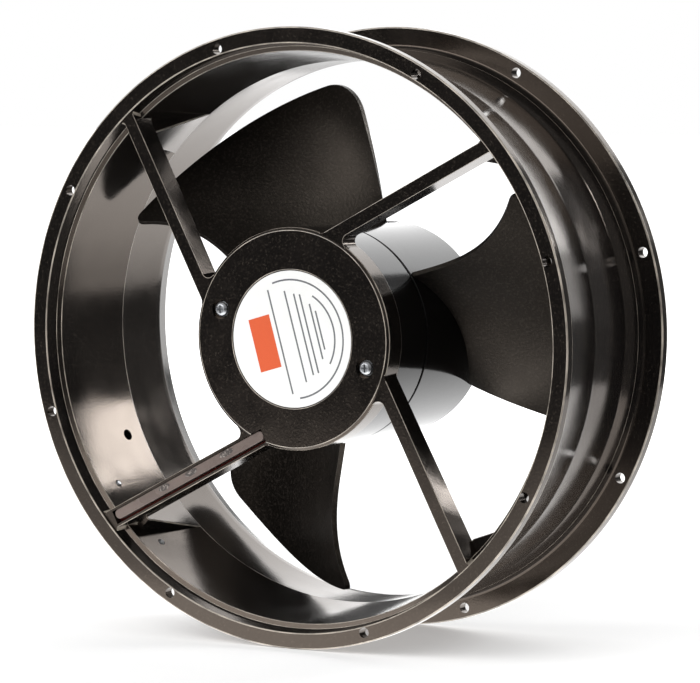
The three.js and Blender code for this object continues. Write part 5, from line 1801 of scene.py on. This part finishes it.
    def build(self) -> list[Piece]:
        """Builds the moulding, the tabs and the screws.

        Returns:
            The five pieces.
        """
        made = [self.moulding()]
        for i, side in enumerate(Side, 1):
            tab, screw = self.tab_form(side), self.screw_form(side)
            stands_for = [f"terminal_tab_{i}"]
            made.append(tab.piece(f"flat_tab_{i}", BRASS, Body.FRAME, "terminal_brass", stands_for))
            stands_for = [f"terminal_screw_{i}"]
            made.append(screw.piece(f"block_screw_{i}", ZINC, Body.FRAME, "screw_zinc", stands_for))
        return made


# Rotor


@dataclass
class RotorHub:
    """The external rotor's cup with its rolled rear corner, and the shaft end in its boss."""

    radius: float = 45.0
    front: float = ROTOR_FRONT
    rear: float = 41.5
    wall: float = 2.2
    end_wall: float = 2.5
    boss: Span = (6.0, 9.0)  # front and rear radius
    boss_front: float = 27.2
    bore: float = 4.2
    shaft_radius: float = 4.0
    shaft_ends: Span = (-40.4, 41.1)
    shaft_steps: int = 48
    shaft_chamfer: float = 0.4
    centre_drilling: float = 1.0
    groove: Triple = (3.4, -38.8, -37.6)  # radius, start and end

    def cup(self) -> Piece:
        """Spins the cup.

        Returns:
            The cup.
        """
        inner, floor = self.radius - self.wall, self.rear - self.end_wall
        boss_tip, boss_root = self.boss
        corners = [
            (self.bore, self.rear, 0.2),
            (self.radius, self.rear, 3.0),
            (self.radius, self.front, 0.4),
            (inner, self.front, 0.3),
            (inner, floor, 1.5),
            (boss_root, floor, 1.0),
            (boss_tip, self.boss_front, 0.2),
            (self.bore, self.boss_front, 0.2),
        ]
        form = Form().spin(rounded(corners, 6), TURNED_STEPS)
        paint = (MOTOR_PAINT, Body.ROTOR, "motor_paint")
        return form.piece("rotor_shell", *paint, ["rotor_cup"], CRISP_CREASE)

    def shaft(self) -> Piece:
        """Spins the shaft with its clip groove, chamfers and centre drillings.

        Returns:
            The shaft.
        """
        front, rear = self.shaft_ends
        groove_radius, groove_start, groove_end = self.groove
        radius, chamfer, drilling = self.shaft_radius, self.shaft_chamfer, self.centre_drilling
        outline = [
            (0.0, front + drilling),
            (drilling, front),
            (radius - chamfer, front),
            (radius, front + chamfer),
            (radius, groove_start),
            (groove_radius, groove_start),
            (groove_radius, groove_end),
            (radius, groove_end),
            (radius, rear - chamfer),
            (radius - chamfer, rear),
            (drilling, rear),
            (0.0, rear - drilling),
        ]
        form = Form().spin(outline, self.shaft_steps, closed=False)
        return form.piece("rotor_shaft", STEEL, Body.ROTOR, "bearing_steel", ["shaft"])

    def build(self) -> list[Piece]:
        """Builds the cup and the shaft."""
        return [self.cup(), self.shaft()]


@dataclass
class SweptBlades:
    """Three pressed blades: curved sheets between four stations, with rounded tip corners and edges.

    Shares along the axis are of the rotor's length, counted from its front.
    """

    count: int = 3
    root: float = 44.8
    seat: float = 45.2
    tip: float = 106.2
    thickness: float = 2.2
    front: float = ROTOR_FRONT
    length: float = 51.7
    outlet_degrees: tuple[float, ...] = (91.3, 94.1, 96.5, 98.5)
    inlet_degrees: tuple[float, ...] = (154.9, 149.6, 150.4, 155.9)
    outlet_shares: tuple[float, ...] = (0.888, 0.868, 0.855, 0.847)
    inlet_shares: tuple[float, ...] = (0.031, 0.06, 0.021, -0.081)
    camber_shares: tuple[float, ...] = (0.089, 0.159, 0.226, 0.296)
    skew_shares: tuple[float, ...] = (0.062, 0.0135, -0.035, -0.083)
    outlet_corner: float = 14.0
    inlet_corner: float = 5.0
    edge_share: float = 0.36
    rim_degrees: float = 55.0
    crease: float = 40.0
    slope_share: float = 0.01  # of the chord, either way, over which the sheet's slope is taken
    columns: int = 72
    rows: int = 48

    def station(self, values: Sequence[float], reach: float) -> float:
        """Gives the value between stations, on the cubic through them.

        Args:
            values: The value at each station, from root to tip.
            reach: Share of the way from root to tip.

        Returns:
            The value there.
        """
        last = len(values) - 1
        total = 0.0
        for i, value in enumerate(values):
            weight = 1.0
            for j in range(last + 1):
                if j != i:
                    weight *= (reach * last - j) / (i - j)
            total += value * weight
        return total

    def middle(self, radius: float, share: float) -> tuple[float, float]:
        """Gives a point of the sheet's middle.

        Args:
            radius: Its radius.
            share: Share of the chord, from the outlet edge.

        Returns:
            Its angle and its place along the axis.
        """
        reach = (radius - self.seat) / (self.tip - self.seat)
        outlet, inlet = self.station(self.outlet_degrees, reach), self.station(self.inlet_degrees, reach)
        skew = self.station(self.skew_shares, reach) * (2 * share - 1)
        bend = self.station(self.camber_shares, reach) + skew
        start, end = self.station(self.outlet_shares, reach), self.station(self.inlet_shares, reach)
        axial = start + (end - start) * share + 4 * share * (1 - share) * bend
        return outlet + (inlet - outlet) * share, self.front + axial * self.length

    def drawn_in(self, radius: float, distance: float) -> float:
        """Gives how far a rounded corner draws the tip in, at a distance from the edge."""
        return radius - leg(radius, max(0.0, radius - distance))

    def tip_at(self, share: float) -> float:
        """Gives the tip's radius.

        Args:
            share: Share of the chord, from the outlet edge.

        Returns:
            The radius there.
        """
        span = self.station(self.inlet_degrees, 1.0) - self.station(self.outlet_degrees, 1.0)
        chord = math.radians(span) * self.tip
        at_outlet = self.drawn_in(self.outlet_corner, share * chord)
        return self.tip - at_outlet - self.drawn_in(self.inlet_corner, (1 - share) * chord)

    def face(self, side: Side) -> Callable[[float, float], Vector]:
        """Gives the rule that puts one face's grid in place, half the thickness off the middle.

        Args:
            side: Which face.

        Returns:
            The rule, on shares of the chord and of the reach.
        """

        def place(column: float, row: float) -> Vector:
            """Gives a point of the face.

            Args:
                column: Share of the chord, from the outlet edge; points crowd at both edges.
                row: Share of the way from root to tip.

            Returns:
                The point.
            """
            share = (1 - math.cos(math.pi * column)) / 2
            radius = self.root + (self.tip_at(share) - self.root) * row
            angle, y = self.middle(radius, share)
            before = self.middle(radius, share - self.slope_share)
            after = self.middle(radius, share + self.slope_share)
            along = Vector((math.radians(after[0] - before[0]) * radius, after[1] - before[1])).normalized()
            push = side.value * self.thickness / 2
            return at_angle(radius, y - push * along.x, angle + math.degrees(push * along.y / radius))

        return place

    def blade(self, number: int) -> Piece:
        """Builds both faces of a blade, closes their rim and rounds it.

        Args:
            number: The blade's number, from 1.

        Returns:
            The blade.
        """
        form = Form()
        for side in Side:
            form.sheet(self.columns, self.rows, self.face(side))
        bmesh.ops.bridge_loops(form.bm, edges=form.edges_where(lambda edge: edge.is_boundary))
        form.clean()
        # the rounded rim gets the painted edge highlight
        form.round_edges(form.sharp_edges(self.rim_degrees), self.thickness * self.edge_share, highlighted=True)
        form.turn(-360 / self.count * (number - 1))
        name, stands_for = f"swept_blade_{number}", [f"blade_{number}"]
        return form.piece(name, BLADE_PAINT, Body.ROTOR, "blade_paint", stands_for, self.crease, BLADE_EDGE_HIGHLIGHT)

    def build(self) -> list[Piece]:
        """Builds all blades."""
        return [self.blade(number) for number in range(1, self.count + 1)]


# Inner parts keep their CAD shapes and get their real finish


@dataclass
class InnerParts:
    """Bearings, stator, core and leads, which keep their CAD nodes under a real finish."""

    nodes: dict[str, Piece]
    kinds: tuple[tuple[Finish, tuple[str, ...]], ...] = (
        (LAMINATION, ("stator_core", "rotor_core")),
        (NYLON, ("stator_insulator",)),
        (COPPER, ("stator_coil",)),
        (THERMOSET, ("thermal_protector", "terminal_block")),
        (SILICONE, ("lead_wire",)),
        (STEEL, ("bearing", "wave_spring", "retaining_clip", "shim_washer", "shaft")),
        (FRAME_PAINT, ("venturi_housing",)),
        (LABEL_FILM, ("label_disc",)),
        (ZINC, ("motor_screw", "lock_washer", "terminal_screw")),
        (MOTOR_PAINT, ("motor_base", "rotor_cup")),
        (BLADE_PAINT, ("blade",)),
        (BRASS, ("terminal_tab",)),
        (FILLER, ("channel_strip",)),
    )

    def build(self) -> int:
        """Gives every CAD node the finish of its kind, also those that a finished piece stands for.

        Returns:
            How many nodes were dressed.
        """
        dressed = 0
        for name, node in self.nodes.items():
            fitting = [finish for finish, parts in self.kinds if any(part in name for part in parts)]
            for finish in fitting[:1]:
                node.data.materials.clear()
                node.data.materials.append(finish.material())
                dressed += 1
        return dressed


# Studio


@dataclass(frozen=True)
class Softbox:
    """A soft lamp: its place, size and brightness, the point it faces and whether it is round, in metres."""

    title: str
    place: Triple
    size: Span
    brightness: float
    target: Triple = (0.0, 0.0, 0.0)
    round: bool = False

    def build(self) -> None:
        """Adds the lamp; its brightness of 1 shows white where it is seen."""
        data = bpy.data.lights.new(self.title, "AREA")
        data.shape = "ELLIPSE" if self.round else "RECTANGLE"
        data.size, data.size_y = self.size
        area = self.size[0] * self.size[1] * (math.pi / 4 if self.round else 1.0)
        data.energy = self.brightness * math.pi * area
        made = bpy.data.objects.new(self.title, data)
        aim = (Vector(self.place) - Vector(self.target)).to_track_quat("Z", "Y")
        made.matrix_world = Matrix.Translation(self.place) @ aim.to_matrix().to_4x4()
        bpy.context.scene.collection.objects.link(made)


@dataclass
class Studio:
    """White floor and surroundings, soft lamps and the photograph's camera.

    The floor's size and the camera's place are in millimetres, and the lamps are in metres. A reach is the
    span over which something changes: metres on the floor, and shares of the direction in the surroundings.
    """

    floor_z: float = -127.0
    floor_size: Triple = (750.0, 8000.0, 6000.0)  # to the front, to the rear and to each side
    azimuth: float = 30.45
    elevation: float = 4.221
    distance: float = 1707.42
    right: float = 1.788
    up: float = -3.68
    lens: float = 211.01
    sensor: float = 36.0
    sight: float = 20.0
    room: float = 0.05
    ceiling: float = 0.3
    ceiling_reach: Span = (0.02, 0.25)
    behind: float = 0.14
    behind_reach: Span = (0.2, 0.6)
    fill: float = 0.5
    floor_colour: str = "#f2f2f2"
    lift: float = 0.3
    lift_reach: Span = (0.4, 1.1)
    dim_floor: float = 0.1
    dim_reach: Span = (0.02, 0.22)
    lamps: tuple[Softbox, ...] = (
        Softbox("rear_right_softbox", (0.87, 1.15, 0.70), (0.42, 0.56), 9.5),
        Softbox("rear_top_softbox", (-0.30, 1.57, 0.83), (1.5, 1.15), 2.3),
        Softbox("rear_low_softbox", (-0.10, 1.6, 0.20), (1.3, 0.4), 0.8),
        Softbox("front_left_softbox", (-0.55, -1.26, 0.82), (1.95, 1.2), 2.4),
        Softbox("floor_softbox", (-0.12, 0.28, -0.1265), (0.95, 0.95), 1.2, (-0.12, 0.28, 1.0), True),
    )

    def camera(self) -> None:
        """Adds the camera at the photograph's place."""
        a, e = math.radians(self.azimuth), math.radians(self.elevation)
        back = Vector((math.sin(a) * math.cos(e), -math.cos(a) * math.cos(e), math.sin(e)))
        right = Vector((math.cos(a), math.sin(a), 0.0))
        up = back.cross(right)
        data = bpy.data.cameras.new("photo_camera")
        data.lens = self.lens
        data.sensor_width = self.sensor
        data.clip_end = self.sight
        made = bpy.data.objects.new("photo_camera", data)
        turn = Matrix((right, up, back)).transposed().to_4x4()
        place = (back * self.distance + right * self.right + up * self.up) * MM
        made.matrix_world = Matrix.Translation(place) @ turn
        bpy.context.scene.collection.objects.link(made)
        bpy.context.scene.camera = made

    def rays(self, tree: Tree) -> tuple[Socket, Socket]:
        """Tells the rays apart that a surface or the surroundings are seen by.

        Args:
            tree: The node tree.

        Returns:
            1 for rays from the camera, and 1 for rays that leave a glossy or clear surface.
        """
        path = add_node(tree, "ShaderNodeLightPath").outputs
        links = {0: path["Is Glossy Ray"], 1: path["Is Transmission Ray"]}
        gloss = add_node(tree, "ShaderNodeMath", {"operation": "MAXIMUM"}, links=links)
        return path["Is Camera Ray"], gloss.outputs[0]

    def surroundings(self) -> None:
        """Makes the world: white for the camera, and for gloss a dim room that is lighter above."""
        world = bpy.data.worlds.new("white_studio")
        bpy.context.scene.world = world
        world.use_nodes = True
        tree = world.node_tree
        tree.nodes.clear()
        smooth, number = {"interpolation_type": "SMOOTHSTEP"}, {"data_type": "FLOAT"}
        direction = add_node(tree, "ShaderNodeTexCoord").outputs["Generated"]
        parts = add_node(tree, "ShaderNodeSeparateXYZ", links={0: direction}).outputs
        values = between(*self.ceiling_reach, self.room, self.ceiling)
        front = add_node(tree, "ShaderNodeMapRange", smooth, values, {"Value": parts["Z"]}).outputs["Result"]
        values = between(*self.behind_reach)
        behind = add_node(tree, "ShaderNodeMapRange", smooth, values, {"Value": parts["Y"]}).outputs["Result"]
        camera, gloss = self.rays(tree)
        mirrored = add_node(tree, "ShaderNodeMix", number, {3: self.behind}, {0: behind, 2: front}).outputs[0]
        shown = add_node(tree, "ShaderNodeMix", number, {2: self.fill}, {0: gloss, 3: mirrored}).outputs[0]
        strength = add_node(tree, "ShaderNodeMix", number, {3: 1.0}, {0: camera, 2: shown}).outputs[0]
        white = {"Color": linear("#ffffff")}
        light = add_node(tree, "ShaderNodeBackground", values=white, links={"Strength": strength})
        add_node(tree, "ShaderNodeOutputWorld", links={"Surface": light.outputs[0]})

    def floor_paint(self) -> bpy.types.Material:
        """Makes the floor's material.

        The camera sees it glow more with distance, and gloss sees it white at the left and dim at the right.

        Returns:
            The material.
        """
        paint = bpy.data.materials.new("white_floor")
        paint.use_nodes = True
        tree = paint.node_tree
        tree.nodes.clear()
        smooth, number = {"interpolation_type": "SMOOTHSTEP"}, {"data_type": "FLOAT"}
        camera, gloss = self.rays(tree)
        place = add_node(tree, "ShaderNodeTexCoord").outputs["Object"]
        length = {"operation": "LENGTH"}
        away = add_node(tree, "ShaderNodeVectorMath", length, links={0: place}).outputs["Value"]
        values = between(*self.lift_reach, self.lift, 1.0)
        lift = add_node(tree, "ShaderNodeMapRange", smooth, values, {"Value": away}).outputs["Result"]
        glowing = add_node(tree, "ShaderNodeMix", number, {2: 0.0}, {0: camera, 3: lift}).outputs[0]
        glow = add_node(tree, "ShaderNodeEmission", links={"Strength": glowing})
        matte = add_node(tree, "ShaderNodeBsdfDiffuse", values={"Color": linear(self.floor_colour)})
        lit = add_node(tree, "ShaderNodeAddShader", links={0: matte.outputs[0], 1: glow.outputs[0]})
        aside = add_node(tree, "ShaderNodeSeparateXYZ", links={0: place}).outputs["X"]
        values = between(*self.dim_reach, 1.0, self.dim_floor)
        dimmed = add_node(tree, "ShaderNodeMapRange", smooth, values, {"Value": aside}).outputs["Result"]
        mirrored = add_node(tree, "ShaderNodeEmission", links={"Strength": dimmed})
        links = {0: gloss, 1: lit.outputs[0], 2: mirrored.outputs[0]}
        both = add_node(tree, "ShaderNodeMixShader", links=links).outputs[0]
        add_node(tree, "ShaderNodeOutputMaterial", links={"Surface": both})
        return paint

    def floor(self) -> None:
        """Adds the pale floor, which keeps the fan's shadow."""
        form = Form()
        bmesh.ops.create_grid(form.bm, x_segments=1, y_segments=1, size=0.5)
        front, rear, side = self.floor_size
        form.move(Matrix.Diagonal((2 * side, rear + front, 1.0, 1.0)))
        form.shift(0, (rear - front) / 2, self.floor_z).move(Matrix.Scale(MM, 4))
        made = form.loose("studio_floor")
        made.data.materials.append(self.floor_paint())

    def build(self) -> None:
        """Builds the whole studio."""
        self.surroundings()
        self.floor()
        for lamp in self.lamps:
            lamp.build()
        self.camera()
        bpy.context.scene.view_settings.view_transform = "Standard"


def main() -> None:
    """Builds the fan and its studio."""
    logging.basicConfig(level=logging.INFO, format="%(name)s %(message)s")
    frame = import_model()
    LOG.info("dressed %d CAD nodes", InnerParts(frame["nodes"]).build())
    housing = (VenturiHousing(), HubLabel(), MotorScrews(), MotorBase(), ChannelStrip(), TerminalBlock())
    made: list[Piece] = []
    for part in (*housing, RotorHub(), SweptBlades()):
        made.extend(part.build())
    LOG.info("built %d pieces", len(made))
    Studio().build()


if __name__ == "__main__":
    main()
